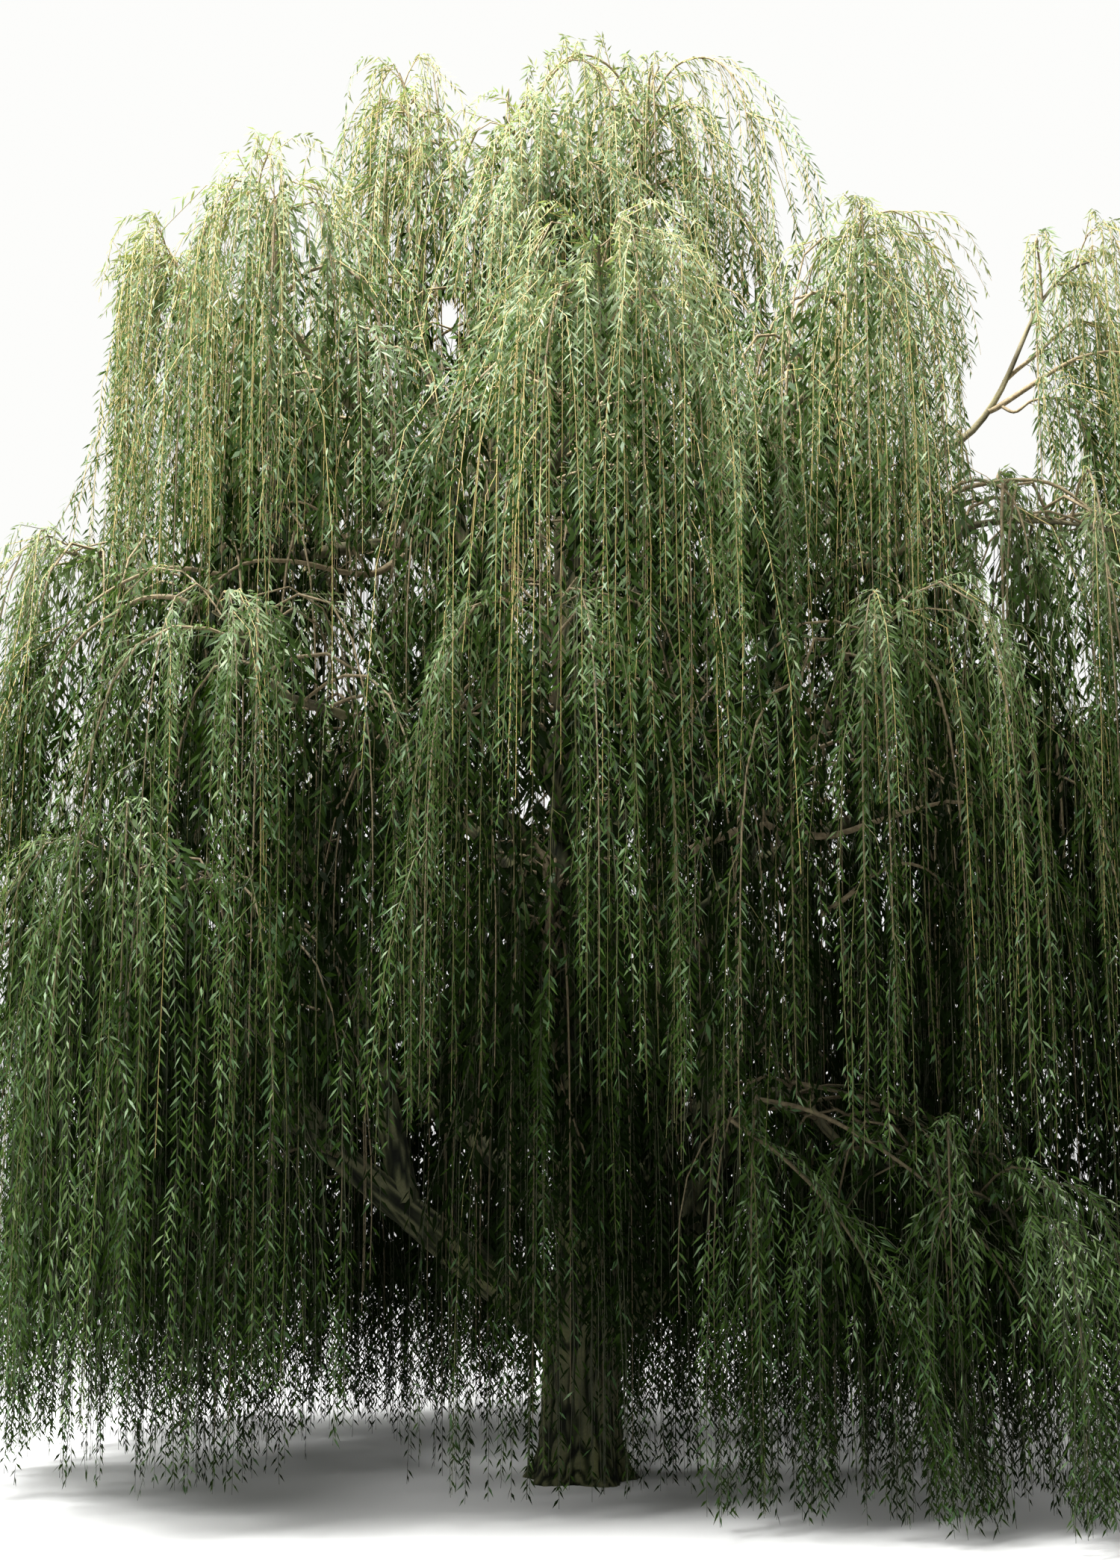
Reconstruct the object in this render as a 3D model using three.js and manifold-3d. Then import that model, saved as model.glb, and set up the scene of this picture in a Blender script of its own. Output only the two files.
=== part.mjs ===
// A weeping willow, whole from the flat cut at ground level to the top of its crown.
//
// Sizes are millimetres. +Z is up, +X is to the right and +Y is away as the tree is usually seen, and the origin is the
// middle of the trunk's cut. A heading is a compass angle in degrees about the trunk: 0 is right, 90 is away from the
// viewer, 180 is left and 270 is towards the viewer.
//
// The trunk forks low down. Boughs leave it and each other, and every bough but one ends where it enters a mass of
// foliage. A mass is one stem that goes on from its bough's tip and arches over, arms that spring from the stem and
// turn down to hang, and sprays of leaves along the arms.

import * as THREE from 'three';
import { mergeVertices } from 'three/addons/utils/BufferGeometryUtils.js';
import Module from 'manifold-3d';

const wasm = await Module();
wasm.setup();

// The whole tree.
const CROWN_TOP = 10800;
const GROUND_CLEARANCE = 40;
const JOINT_GAP = 0.3;
const KEEP_CLEAR = 6;

// The trunk: a stout butt that flares at the ground, then a slimmer stem above the low fork.
const TRUNK_HEIGHT = 4900;
const BUTT_RADIUS = 264;
const STEM_RADIUS = 165;
const TRUNK_TIP_RADIUS = 108;
const FORK_HEIGHT = 1350;
const FORK_BLEND = 260;
const FLARE_RADIUS = 105;
const FLARE_HEIGHT = 190;
const ROOT_LOBES = 5;
const ROOT_LOBE_SHARE = 0.16;
const TRUNK_SWAY = 70;
const TRUNK_LEAN = -85;
const TRUNK_SIDES = 16;
const TRUNK_RINGS = 12;

// Limbs and twigs.
const BOUGH_SIDES = 6;
const RING_SPACING = 1000;
const BOW_PER_RING = 500;
const COLLAR_SHARE = 0.32;
const STEM_SIDES = 5;
const STEM_RINGS = 4;
const STEM_TAPER = 0.6;
const ARM_RADIUS = 16;
const ARCH_RISE = { least: 80, most: 300 };
const GOLDEN_ANGLE = 137.508;

// A spray of leaves, drawn as one long blade.
const SPRAY_LENGTH = 1200;
const SPRAY_WIDTH = 215;
const SPRAY_THICKNESS = 30;
const SPRAY_WIDEST = 0.46;
const SPRAY_SPACING = 900;
const SPRAY_ANGLE = 22;
const ARCH_SHARE = 0.14;
const TIP_OVERLAP = 230;

// The space of a mass lies about a point this far below the end of its stem, and heights count for less than widths.
const SPACE_DROP = 700;
const HEIGHT_WEIGHT = 0.42;

const BARK = { color: 0x5a4c3c, roughness: 0.95, metalness: 0 };
const LEAF_TOP = { color: 0x8f9a5a, roughness: 0.6, metalness: 0 };
const LEAF_MIDDLE = { color: 0x5c7346, roughness: 0.6, metalness: 0 };
const LEAF_LOW = { color: 0x3a5230, roughness: 0.6, metalness: 0 };

// Each bough runs from a share of its parent's length to a tip at a heading, a reach from the trunk's foot and a
// height. It bows to the side that bow gives, and tapers from root to tip radius. foliage says what hangs from its
// tip: how far the stem goes on out and up, how far the arms spread, the height the hanging twigs come down to, and
// how many arms there are.
const BOUGHS = [
  // the leaders, which carry the top of the crown
  { name: 'leader_middle', from: 'trunk', at: 0.975, heading: 215, reach: 380, height: 8300, root: 98, tip: 50,
    bow: [-900, 0, 0], foliage: { out: 300, up: 1500, spread: 900, floor: 6900, arms: 5 } },
  { name: 'leader_right', from: 'trunk', at: 0.93, heading: 18, reach: 400, height: 8700, root: 88, tip: 46,
    bow: [-260, 60, 0], foliage: { out: 260, up: 1820, spread: 1000, floor: 7000, arms: 7 } },
  { name: 'leader_left', from: 'leader_middle', at: 0.2, heading: 172, reach: 1200, height: 8700, root: 66, tip: 42,
    bow: [-260, 60, -200], foliage: { out: 200, up: 1760, spread: 680, floor: 7000, arms: 6 } },
  { name: 'leader_back', from: 'leader_right', at: 0.2, heading: 96, reach: 1750, height: 8000, root: 62, tip: 42,
    bow: [0, 300, 0], foliage: { out: 300, up: 1450, spread: 1050, floor: 6400, arms: 5 } },

  // the shoulders of the crown
  { name: 'shoulder_front_left', from: 'leader_middle', at: 0.3, heading: 222, reach: 2500, height: 7500, root: 60,
    tip: 40, bow: [0, 0, 260], foliage: { out: 400, up: 1050, spread: 760, floor: 4900, arms: 6 } },
  { name: 'shoulder_left', from: 'leader_left', at: 0.25, heading: 180, reach: 2700, height: 7950, root: 52,
    tip: 36, bow: [0, 0, 200], foliage: { out: 420, up: 950, spread: 660, floor: 5100, arms: 5 } },
  { name: 'shoulder_back_left', from: 'leader_left', at: 0.4, heading: 136, reach: 2750, height: 7700, root: 50,
    tip: 36, bow: [0, 0, 220], foliage: { out: 450, up: 1250, spread: 1050, floor: 5000, arms: 5 } },
  { name: 'shoulder_back', from: 'leader_back', at: 0.45, heading: 92, reach: 2950, height: 6900, root: 50,
    tip: 36, bow: [0, 0, 220], foliage: { out: 450, up: 950, spread: 1050, floor: 4300, arms: 6 } },
  { name: 'shoulder_back_right', from: 'leader_right', at: 0.45, heading: 44, reach: 2450, height: 7950, root: 52,
    tip: 36, bow: [0, 0, 220], foliage: { out: 450, up: 1250, spread: 980, floor: 4900, arms: 5 } },
  { name: 'shoulder_right', from: 'leader_right', at: 0.32, heading: 2, reach: 2850, height: 7450, root: 58,
    tip: 42, bow: [0, 0, -260], foliage: { out: 1080, up: 1450, spread: 780, floor: 5400, arms: 6 } },
  { name: 'shoulder_front_right', from: 'leader_right', at: 0.22, heading: 320, reach: 2150, height: 7400, root: 58,
    tip: 40, bow: [0, 0, 260], foliage: { out: 400, up: 1050, spread: 900, floor: 4500, arms: 6 } },
  { name: 'shoulder_front', from: 'leader_middle', at: 0.42, heading: 272, reach: 2400, height: 6850, root: 56,
    tip: 40, bow: [0, 0, 240], foliage: { out: 450, up: 850, spread: 1000, floor: 4200, arms: 6 } },

  // the right bough, which leaves the fork and carries three others
  { name: 'right_riser', from: 'trunk', at: 0.19, heading: 354, reach: 720, height: 3900, root: 135,
    tip: 86, bow: [980, 0, -960] },

  // the middle of the crown, which hangs in front of the stem and the leaders
  { name: 'middle_left', from: 'leader_middle', at: 0.5, heading: 190, reach: 2900, height: 6050, root: 60,
    tip: 40, bow: [0, 0, 420], foliage: { out: 900, up: 350, spread: 900, floor: 2500, arms: 7 } },
  { name: 'middle_front_left', from: 'trunk', at: 0.84, heading: 226, reach: 2700, height: 5050, root: 72,
    tip: 42, bow: [0, 0, 420], foliage: { out: 600, up: 450, spread: 1000, floor: 2200, arms: 8 } },
  { name: 'middle_front', from: 'trunk', at: 0.9, heading: 266, reach: 2250, height: 5000, root: 68,
    tip: 42, bow: [0, 0, 420], foliage: { out: 500, up: 400, spread: 1000, floor: 2300, arms: 9 } },
  { name: 'middle_front_right', from: 'right_riser', at: 0.86, heading: 308, reach: 2600, height: 4950, root: 66,
    tip: 42, bow: [0, 0, 300], foliage: { out: 550, up: 500, spread: 1000, floor: 2100, arms: 5 } },
  { name: 'middle_right', from: 'leader_right', at: 0.12, heading: 344, reach: 2700, height: 6500, root: 66,
    tip: 42, bow: [0, 0, 320], foliage: { out: 1300, up: -180, spread: 950, floor: 2600, arms: 9 } },
  { name: 'middle_back_right', from: 'trunk', at: 0.87, heading: 30, reach: 3100, height: 5600, root: 70,
    tip: 42, bow: [0, 0, 420], foliage: { out: 700, up: 450, spread: 1000, floor: 2400, arms: 5 } },
  { name: 'middle_back', from: 'trunk', at: 0.8, heading: 74, reach: 2950, height: 5200, root: 70,
    tip: 42, bow: [0, 0, 420], foliage: { out: 600, up: 400, spread: 1000, floor: 2200, arms: 5 } },
  { name: 'middle_back_left', from: 'trunk', at: 0.76, heading: 122, reach: 3050, height: 5300, root: 70,
    tip: 42, bow: [0, 0, 420], foliage: { out: 600, up: 450, spread: 1000, floor: 2300, arms: 5 } },

  // the low boughs, which leave the fork and hang to the ground
  { name: 'low_left', from: 'trunk', at: 0.178, heading: 184, reach: 3050, height: 3300, root: 150,
    tip: 62, bow: [0, 0, -60], foliage: { out: 750, up: 350, spread: 900, floor: 150, arms: 5 } },
  { name: 'left_riser', from: 'low_left', at: 0.4, heading: 158, reach: 2700, height: 5000, root: 92,
    tip: 52, bow: [350, 0, 250], foliage: { out: 900, up: 450, spread: 1000, floor: 2100, arms: 5 } },
  { name: 'low_front_left', from: 'low_left', at: 0.58, heading: 214, reach: 3050, height: 3650, root: 66,
    tip: 40, bow: [0, 0, 220], foliage: { out: 550, up: 350, spread: 850, floor: 900, arms: 8 } },
  { name: 'low_right', from: 'right_riser', at: 0.97, heading: 356, reach: 3050, height: 4750, root: 78,
    tip: 46, bow: [-350, 0, 330], foliage: { out: 850, up: 350, spread: 1000, floor: 250, arms: 6 } },
  { name: 'low_front_right', from: 'right_riser', at: 0.34, heading: 320, reach: 2050, height: 2350, root: 82,
    tip: 46, bow: [0, 0, 1000], foliage: { out: 1350, up: -650, spread: 850, floor: 120, arms: 8 } },
  { name: 'low_back_right', from: 'trunk', at: 0.3, heading: 50, reach: 3000, height: 3500, root: 96,
    tip: 50, bow: [0, 0, 240], foliage: { out: 750, up: 300, spread: 1000, floor: 150, arms: 5 } },
  { name: 'low_back', from: 'trunk', at: 0.25, heading: 96, reach: 3050, height: 3300, root: 110,
    tip: 52, bow: [0, 0, 200], foliage: { out: 750, up: 300, spread: 1000, floor: 150, arms: 5 } },
  { name: 'low_back_left', from: 'trunk', at: 0.33, heading: 142, reach: 3050, height: 3400, root: 92,
    tip: 50, bow: [0, 0, 240], foliage: { out: 750, up: 300, spread: 1000, floor: 150, arms: 5 } },
  { name: 'low_front', from: 'trunk', at: 0.68, heading: 262, reach: 980, height: 4050, root: 62,
    tip: 44, bow: [0, 0, 180], foliage: { out: 450, up: -850, spread: 520, floor: 150, arms: 5 } },
];

const radians = THREE.MathUtils.degToRad;
const lerp = THREE.MathUtils.lerp;
const smoothstep = THREE.MathUtils.smoothstep;
const DOWN = new THREE.Vector3(0, 0, -1);

// A repeatable stream of numbers from 0 to 1.
function randomStream(seed) {
  const MULTIPLIER = 16807;
  const MODULUS = 2147483647;
  let state = (seed * 7919) % MODULUS;
  return () => {
    state = (state * MULTIPLIER) % MODULUS;
    return state / MODULUS;
  };
}

// Straight runs through points, which can be followed like any other curve.
function pathThrough(points) {
  const path = new THREE.CurvePath();
  points.slice(1).forEach((point, k) => path.add(new THREE.LineCurve3(points[k], point)));
  return path;
}

function headingVector(heading) {
  return new THREE.Vector3(Math.cos(radians(heading)), Math.sin(radians(heading)), 0);
}

// Turns a three.js geometry into a solid that can be joined and cut.
function solidOf(geometry) {
  const bare = new THREE.BufferGeometry().setAttribute('position', geometry.getAttribute('position'));
  bare.setIndex(geometry.index);
  const merged = mergeVertices(bare, 1e-3);
  return new wasm.Manifold(new wasm.Mesh({
    numProp: 3,
    vertProperties: new Float32Array(merged.getAttribute('position').array),
    triVerts: new Uint32Array(merged.index.array),
  }));
}

function geometryOf(solid) {
  const mesh = solid.getMesh();
  const geometry = new THREE.BufferGeometry();
  geometry.setAttribute('position', new THREE.BufferAttribute(mesh.vertProperties, 3));
  geometry.setIndex(new THREE.BufferAttribute(mesh.triVerts, 1));
  return geometry;
}

// The largest closed piece of a solid, which drops loose scraps left by a cut.
function mainPiece(solid) {
  const pieces = solid.decompose();
  return pieces.reduce((best, piece) => (piece.volume() > best.volume() ? piece : best));
}

// Bends an upright cylinder of unit height along a curve, foot first, and carries its tip on by a margin.
function bendAlong(geometry, curve, rings, margin, swellAt = () => 1) {
  const frames = curve.computeFrenetFrames(rings, false);
  const position = geometry.getAttribute('position');
  const point = new THREE.Vector3();
  for (let i = 0; i < position.count; i++) {
    const ring = Math.round((position.getY(i) + 0.5) * rings);
    const swell = swellAt(ring / rings);
    curve.getPointAt(ring / rings, point);
    point.addScaledVector(frames.binormals[ring], position.getX(i) * swell);
    point.addScaledVector(frames.normals[ring], position.getZ(i) * swell);
    if (ring === rings) point.addScaledVector(frames.tangents[ring], margin);
    position.setXYZ(i, point.x, point.y, point.z);
  }
  return geometry;
}

// The middle of the trunk at a height: it sways a little and leans to the left.
function trunkMiddle(height) {
  const share = height / TRUNK_HEIGHT;
  const sway = TRUNK_SWAY * Math.sin(share * Math.PI * 2) * share;
  return new THREE.Vector3(TRUNK_LEAN * share * share + sway, sway * 0.6, height);
}

// The trunk's radius at a height and a turn about its middle, with lobes where the main roots run down.
function trunkRadius(height, turn) {
  const aboveFork = smoothstep(height, FORK_HEIGHT - FORK_BLEND, FORK_HEIGHT + FORK_BLEND);
  const stem = lerp(STEM_RADIUS, TRUNK_TIP_RADIUS, Math.max(0, height - FORK_HEIGHT) / (TRUNK_HEIGHT - FORK_HEIGHT));
  const flare = Math.exp(-height / FLARE_HEIGHT);
  const lobes = 1 + ROOT_LOBE_SHARE * flare * Math.cos(ROOT_LOBES * turn + 0.6);
  return (lerp(BUTT_RADIUS, stem, aboveFork) + FLARE_RADIUS * flare) * lobes;
}

// The trunk as a solid of level rings, closer together near the ground, grown outwards by a margin.
function trunkSolid(margin) {
  const geometry = new THREE.CylinderGeometry(1, 1, 1, TRUNK_SIDES, TRUNK_RINGS);
  const position = geometry.getAttribute('position');
  for (let i = 0; i < position.count; i++) {
    const share = Math.round((position.getY(i) + 0.5) * TRUNK_RINGS) / TRUNK_RINGS;
    const height = TRUNK_HEIGHT * share ** 1.7;
    const x = position.getX(i);
    const z = position.getZ(i);
    const onAxis = Math.hypot(x, z) < 0.5;
    const turn = Math.atan2(-z, x);
    const radius = onAxis ? 0 : trunkRadius(height, turn) + margin;
    const middle = trunkMiddle(height);
    const lift = share === 1 ? margin : 0;
    position.setXYZ(i, middle.x + radius * Math.cos(turn), middle.y + radius * Math.sin(turn), height + lift);
  }
  return solidOf(geometry);
}

// A tapering limb along a curve, with a swollen collar at its root, grown outwards by a margin.
function limbSolid(limb, margin) {
  const bow = Math.hypot(...limb.bow);
  const rings = Math.max(3, Math.round(limb.curve.getLength() / RING_SPACING + bow / BOW_PER_RING));
  const cylinder = new THREE.CylinderGeometry(limb.tip + margin, limb.root + margin, 1, BOUGH_SIDES, rings);
  return solidOf(bendAlong(cylinder, limb.curve, rings, margin, (t) => 1 + COLLAR_SHARE * (1 - t) ** 8));
}

const trunk = {
  pointAt: (share) => trunkMiddle(TRUNK_HEIGHT * share),
  solid: trunkSolid(0),
  grown: trunkSolid(JOINT_GAP),
  shield: trunkSolid(KEEP_CLEAR),
};
const limbs = new Map([['trunk', trunk]]);

// A bough is cut clear of every limb that was made before it.
for (const bough of BOUGHS) {
  const start = limbs.get(bough.from).pointAt(bough.at);
  const end = headingVector(bough.heading).multiplyScalar(bough.reach).setZ(bough.height);
  const control = start.clone().lerp(end, 0.5).add(new THREE.Vector3(...bough.bow));
  const limb = { ...bough, curve: new THREE.QuadraticBezierCurve3(start, control, end) };
  limb.pointAt = (share) => limb.curve.getPointAt(share);
  const cutters = [...limbs.values()].map((other) => other.grown);
  limb.solid = mainPiece(limbSolid(limb, 0).subtract(wasm.Manifold.union(cutters)));
  limb.grown = limbSolid(limb, JOINT_GAP);
  limb.shield = limbSolid(limb, KEEP_CLEAR);
  limbs.set(bough.name, limb);
}

// The stem of a mass starts a hair past its bough's tip, in line with it. It rises and then leans out, or where it
// weeps it leans out and then falls.
function stemCurve(limb) {
  const { out, up } = limb.foliage;
  const onward = limb.curve.getTangentAt(1);
  const outward = headingVector(limb.heading);
  const start = limb.pointAt(1).addScaledVector(onward, JOINT_GAP);
  const at = (reach, rise) => start.clone().addScaledVector(outward, out * reach).setZ(start.z + up * rise);
  const leave = start.clone().addScaledVector(onward, Math.hypot(out, up) * 0.35);
  const over = up > 0 ? at(0.45, 0.9) : at(0.9, 0.35);
  return new THREE.CubicBezierCurve3(start, leave, over, at(1, 1));
}

// An arm leaves the stem at a heading, rises and swings out, then turns down to hang to a floor height. These are
// the points where it bends.
function armJoints(start, heading, spread, lift, floor) {
  const outward = headingVector(heading);
  const at = (reach, height) => start.clone().addScaledVector(outward, spread * reach).setZ(height);
  const arch = start.z + lift;
  return [start, at(0.42, arch), at(0.9, Math.max(arch - spread * 0.26, floor + 60)), at(1.03, floor)];
}

// An arm as a three-sided taper that bends at its joints, with one edge turned to the outside.
function armSolid(joints, heading) {
  const geometry = new THREE.ConeGeometry(1, 1, 3, joints.length - 1);
  const position = geometry.getAttribute('position');
  const side = headingVector(heading + 90);
  const along = new THREE.Vector3();
  const flat = new THREE.Vector3();
  const point = new THREE.Vector3();
  const last = joints.length - 1;
  for (let i = 0; i < position.count; i++) {
    const ring = Math.round((position.getY(i) + 0.5) * last);
    along.subVectors(joints[Math.min(ring + 1, last)], joints[Math.max(ring - 1, 0)]).normalize();
    flat.crossVectors(side, along);
    point.copy(joints[ring]);
    point.addScaledVector(side, position.getX(i) * ARM_RADIUS);
    point.addScaledVector(flat, position.getZ(i) * ARM_RADIUS);
    position.setXYZ(i, point.x, point.y, point.z);
  }
  return solidOf(geometry);
}

// One spray: a blade of eight faces that leaves its arm along a direction and droops past its widest part.
function spraySolid(root, direction, facing, length) {
  const geometry = new THREE.OctahedronGeometry(1);
  const position = geometry.getAttribute('position');
  const side = new THREE.Vector3().crossVectors(direction, facing).normalize();
  const flat = new THREE.Vector3().crossVectors(side, direction).normalize();
  const middle = root.clone().addScaledVector(direction, length * SPRAY_WIDEST);
  const droop = direction.clone().lerp(DOWN, 0.75).normalize();
  const point = new THREE.Vector3();
  for (let i = 0; i < position.count; i++) {
    const y = position.getY(i);
    point.copy(y < -0.5 ? root : middle);
    if (y > 0.5) point.addScaledVector(droop, length * (1 - SPRAY_WIDEST));
    point.addScaledVector(side, position.getX(i) * SPRAY_WIDTH / 2);
    point.addScaledVector(flat, position.getZ(i) * SPRAY_THICKNESS / 2);
    position.setXYZ(i, point.x, point.y, point.z);
  }
  return solidOf(geometry);
}

const masses = [...limbs.values()].filter((limb) => limb.foliage).map((limb, index) => {
  const curve = stemCurve(limb);
  const stemOf = (margin) => {
    const cylinder = new THREE.CylinderGeometry(
      limb.tip * STEM_TAPER + margin, limb.tip + margin, 1, STEM_SIDES, STEM_RINGS);
    return solidOf(bendAlong(cylinder, curve, STEM_RINGS, margin));
  };
  const centre = curve.getPointAt(1).addScaledVector(headingVector(limb.heading), limb.foliage.spread * 0.3);
  centre.z -= SPACE_DROP;
  return {
    limb,
    centre,
    path: pathThrough(curve.getSpacedPoints(STEM_RINGS)),
    random: randomStream(index + 1),
    stem: stemOf(0),
    shield: stemOf(KEEP_CLEAR),
  };
});

// A mass keeps to the space that is nearer to its own centre than to any other.
function distanceTo(mass, x, y, z) {
  const { centre } = mass;
  return Math.hypot(x - centre.x, y - centre.y, (z - centre.z) * HEIGHT_WEIGHT);
}

function keepsToSpace(mass, solid) {
  const { vertProperties: v } = solid.getMesh();
  for (let i = 0; i < v.length; i += 3) {
    const [x, y, z] = [v[i], v[i + 1], v[i + 2]];
    if (z < GROUND_CLEARANCE || z > CROWN_TOP) return false;
    const own = distanceTo(mass, x, y, z) + KEEP_CLEAR;
    if (masses.some((other) => other !== mass && distanceTo(other, x, y, z) < own)) return false;
  }
  return true;
}

function boxesMeet(a, b) {
  return [0, 1, 2].every((k) => a.min[k] <= b.max[k] && b.min[k] <= a.max[k]);
}

function touches(solid, other) {
  return boxesMeet(solid.boundingBox(), other.boundingBox()) && !solid.intersect(other).isEmpty();
}

function fits(mass, solid) {
  if (!keepsToSpace(mass, solid)) return false;
  if ([...limbs.values()].some((limb) => touches(solid, limb.shield))) return false;
  return !masses.some((other) => other !== mass && touches(solid, other.shield));
}

// A spray on an arm that fits and crosses none of the others. It tries one side, the other side, and then a shorter
// length on each.
function placeSpray(mass, arm, share, turn, others) {
  const { random } = mass;
  const along = arm.path.getTangentAt(share).lerp(DOWN, 0.6).normalize();
  const facing = headingVector(arm.heading + 24 * (random() - 0.5));
  const angle = radians(SPRAY_ANGLE * lerp(0.8, 1.2, random()));
  const length = SPRAY_LENGTH * lerp(0.8, 1.1, random());
  for (const [way, scale] of [[turn, 1], [-turn, 1], [turn, 0.7], [-turn, 0.7]]) {
    const direction = along.clone().multiplyScalar(Math.cos(angle));
    direction.addScaledVector(headingVector(arm.heading + way), Math.sin(angle)).normalize();
    const spray = spraySolid(arm.path.getPointAt(share), direction, facing, length * scale);
    if (fits(mass, spray) && !others.some((other) => touches(spray, other))) return spray;
  }
  return null;
}

// An arm of a mass and the spray at its tip, drawn in by steps until both fit, or nothing.
function placeArm(mass, index, sprays) {
  const { spread, floor, arms } = mass.limb.foliage;
  const { random } = mass;
  const start = mass.path.getPointAt(lerp(0.3, 0.98, (index + 0.7) / (arms - 0.3)));
  const heading = mass.limb.heading + GOLDEN_ANGLE * (index + 1) + 20 * (random() - 0.5);
  const lift = lerp(ARCH_RISE.least, ARCH_RISE.most, random());
  const width = spread * lerp(0.6, 1.05, random());
  const lowest = Math.min(lerp(floor, start.z, 0.3 * random()) + SPRAY_LENGTH * 0.6, start.z - 400);
  for (const share of [1, 0.88, 0.76, 0.64, 0.52, 0.4]) {
    const joints = armJoints(start, heading, width * lerp(0.5, 1, share), lift, lerp(start.z, lowest, share));
    const arm = { heading, path: pathThrough(joints), solid: armSolid(joints, heading) };
    if (!fits(mass, arm.solid) || sprays.some((spray) => touches(spray, arm.solid))) continue;
    arm.tip = placeSpray(mass, arm, 1 - TIP_OVERLAP / arm.path.getLength(), index % 2 ? 90 : -90, sprays);
    if (arm.tip) return arm;
  }
  return null;
}

// The stem, the arms that fit and the sprays that fit on them, joined as one solid. The sprays of an arm lie to its
// left and right by turns, from its arch to its tip.
function massSolid(mass) {
  const arms = [];
  const sprays = [];
  for (let k = 0; k < mass.limb.foliage.arms; k++) {
    const arm = placeArm(mass, k, sprays);
    if (!arm) continue;
    arms.push(arm);
    sprays.push(arm.tip);
  }
  for (const arm of arms) {
    const others = arms.filter((other) => other !== arm).map((other) => other.solid);
    const length = arm.path.getLength();
    const last = Math.max(1, Math.round(length / SPRAY_SPACING) - 1);
    for (let k = 0; k < last; k++) {
      const share = lerp(ARCH_SHARE, 1 - TIP_OVERLAP / length, k / last);
      const spray = placeSpray(mass, arm, share, k % 2 ? 90 : -90, [...others, ...sprays]);
      if (spray) sprays.push(spray);
    }
  }
  return mainPiece(wasm.Manifold.union([mass.stem, ...arms.map((arm) => arm.solid), ...sprays]));
}

function leafColours(height) {
  if (height > 7000) return LEAF_TOP;
  return height > 4200 ? LEAF_MIDDLE : LEAF_LOW;
}

function meshOf(name, solid, look) {
  const mesh = new THREE.Mesh(geometryOf(solid), new THREE.MeshStandardMaterial(look));
  mesh.name = name;
  return mesh;
}

const willow = new THREE.Group();
willow.name = 'weeping_willow';
for (const [name, limb] of limbs) {
  willow.add(meshOf(name === 'trunk' ? name : `bough_${name}`, limb.solid, BARK));
}
for (const mass of masses) {
  const { name, height } = mass.limb;
  willow.add(meshOf(`foliage_${name}`, massSolid(mass), leafColours(height)));
}

export default willow;
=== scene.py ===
"""Looks of the weeping willow: bark with real relief on the trunk and boughs, and stems, arms, hanging twigs and
leaves that grow on from the boughs by the same rule as the solids.

Metres, +Z up, +X to the right and +Y away as the camera stands. A heading is a compass angle in degrees about the
trunk: 0 is right, 90 away from the camera, 180 left and 270 towards it.
"""

import math

import bpy
import numpy as np
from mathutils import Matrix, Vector


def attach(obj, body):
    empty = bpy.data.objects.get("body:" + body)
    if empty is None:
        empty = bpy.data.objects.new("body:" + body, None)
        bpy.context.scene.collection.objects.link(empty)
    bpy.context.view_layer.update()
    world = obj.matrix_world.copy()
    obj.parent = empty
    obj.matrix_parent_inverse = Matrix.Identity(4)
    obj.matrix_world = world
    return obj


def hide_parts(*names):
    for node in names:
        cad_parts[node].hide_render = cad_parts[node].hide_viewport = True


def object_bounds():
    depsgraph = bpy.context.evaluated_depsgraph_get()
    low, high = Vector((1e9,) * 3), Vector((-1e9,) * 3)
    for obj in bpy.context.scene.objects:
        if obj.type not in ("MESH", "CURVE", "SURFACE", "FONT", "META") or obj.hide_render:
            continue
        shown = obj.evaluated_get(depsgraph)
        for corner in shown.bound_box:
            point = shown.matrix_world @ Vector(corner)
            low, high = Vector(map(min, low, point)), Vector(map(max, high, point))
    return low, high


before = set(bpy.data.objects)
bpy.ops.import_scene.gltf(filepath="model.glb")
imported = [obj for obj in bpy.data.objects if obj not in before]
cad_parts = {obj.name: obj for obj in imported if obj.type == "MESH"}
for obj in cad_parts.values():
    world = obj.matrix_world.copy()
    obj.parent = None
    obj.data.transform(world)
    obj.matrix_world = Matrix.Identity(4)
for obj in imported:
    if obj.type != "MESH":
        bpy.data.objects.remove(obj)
cad_low, cad_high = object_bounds()

SEED = 4711
rng = np.random.default_rng(SEED)
UP = np.array([0.0, 0.0, 1.0])
DOWN = -UP

# -------- named sizes, as in the part's source
GROUND_CLEARANCE = 0.04
TRUNK_HEIGHT = 4.9
BUTT_RADIUS = 0.264
STEM_RADIUS = 0.165
TRUNK_TIP_RADIUS = 0.108
FORK_HEIGHT = 1.35
FORK_BLEND = 0.26
FLARE_RADIUS = 0.105
FLARE_HEIGHT = 0.19
ROOT_LOBES = 5
ROOT_LOBE_SHARE = 0.16
TRUNK_SWAY = 0.07
TRUNK_LEAN = -0.085
COLLAR_SHARE = 0.32
GOLDEN_ANGLE = 137.508
ARCH_RISE = (0.08, 0.30)
SPRAY_LENGTH = 1.2
SPACE_DROP = 0.7
HEIGHT_WEIGHT = 0.42

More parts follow.
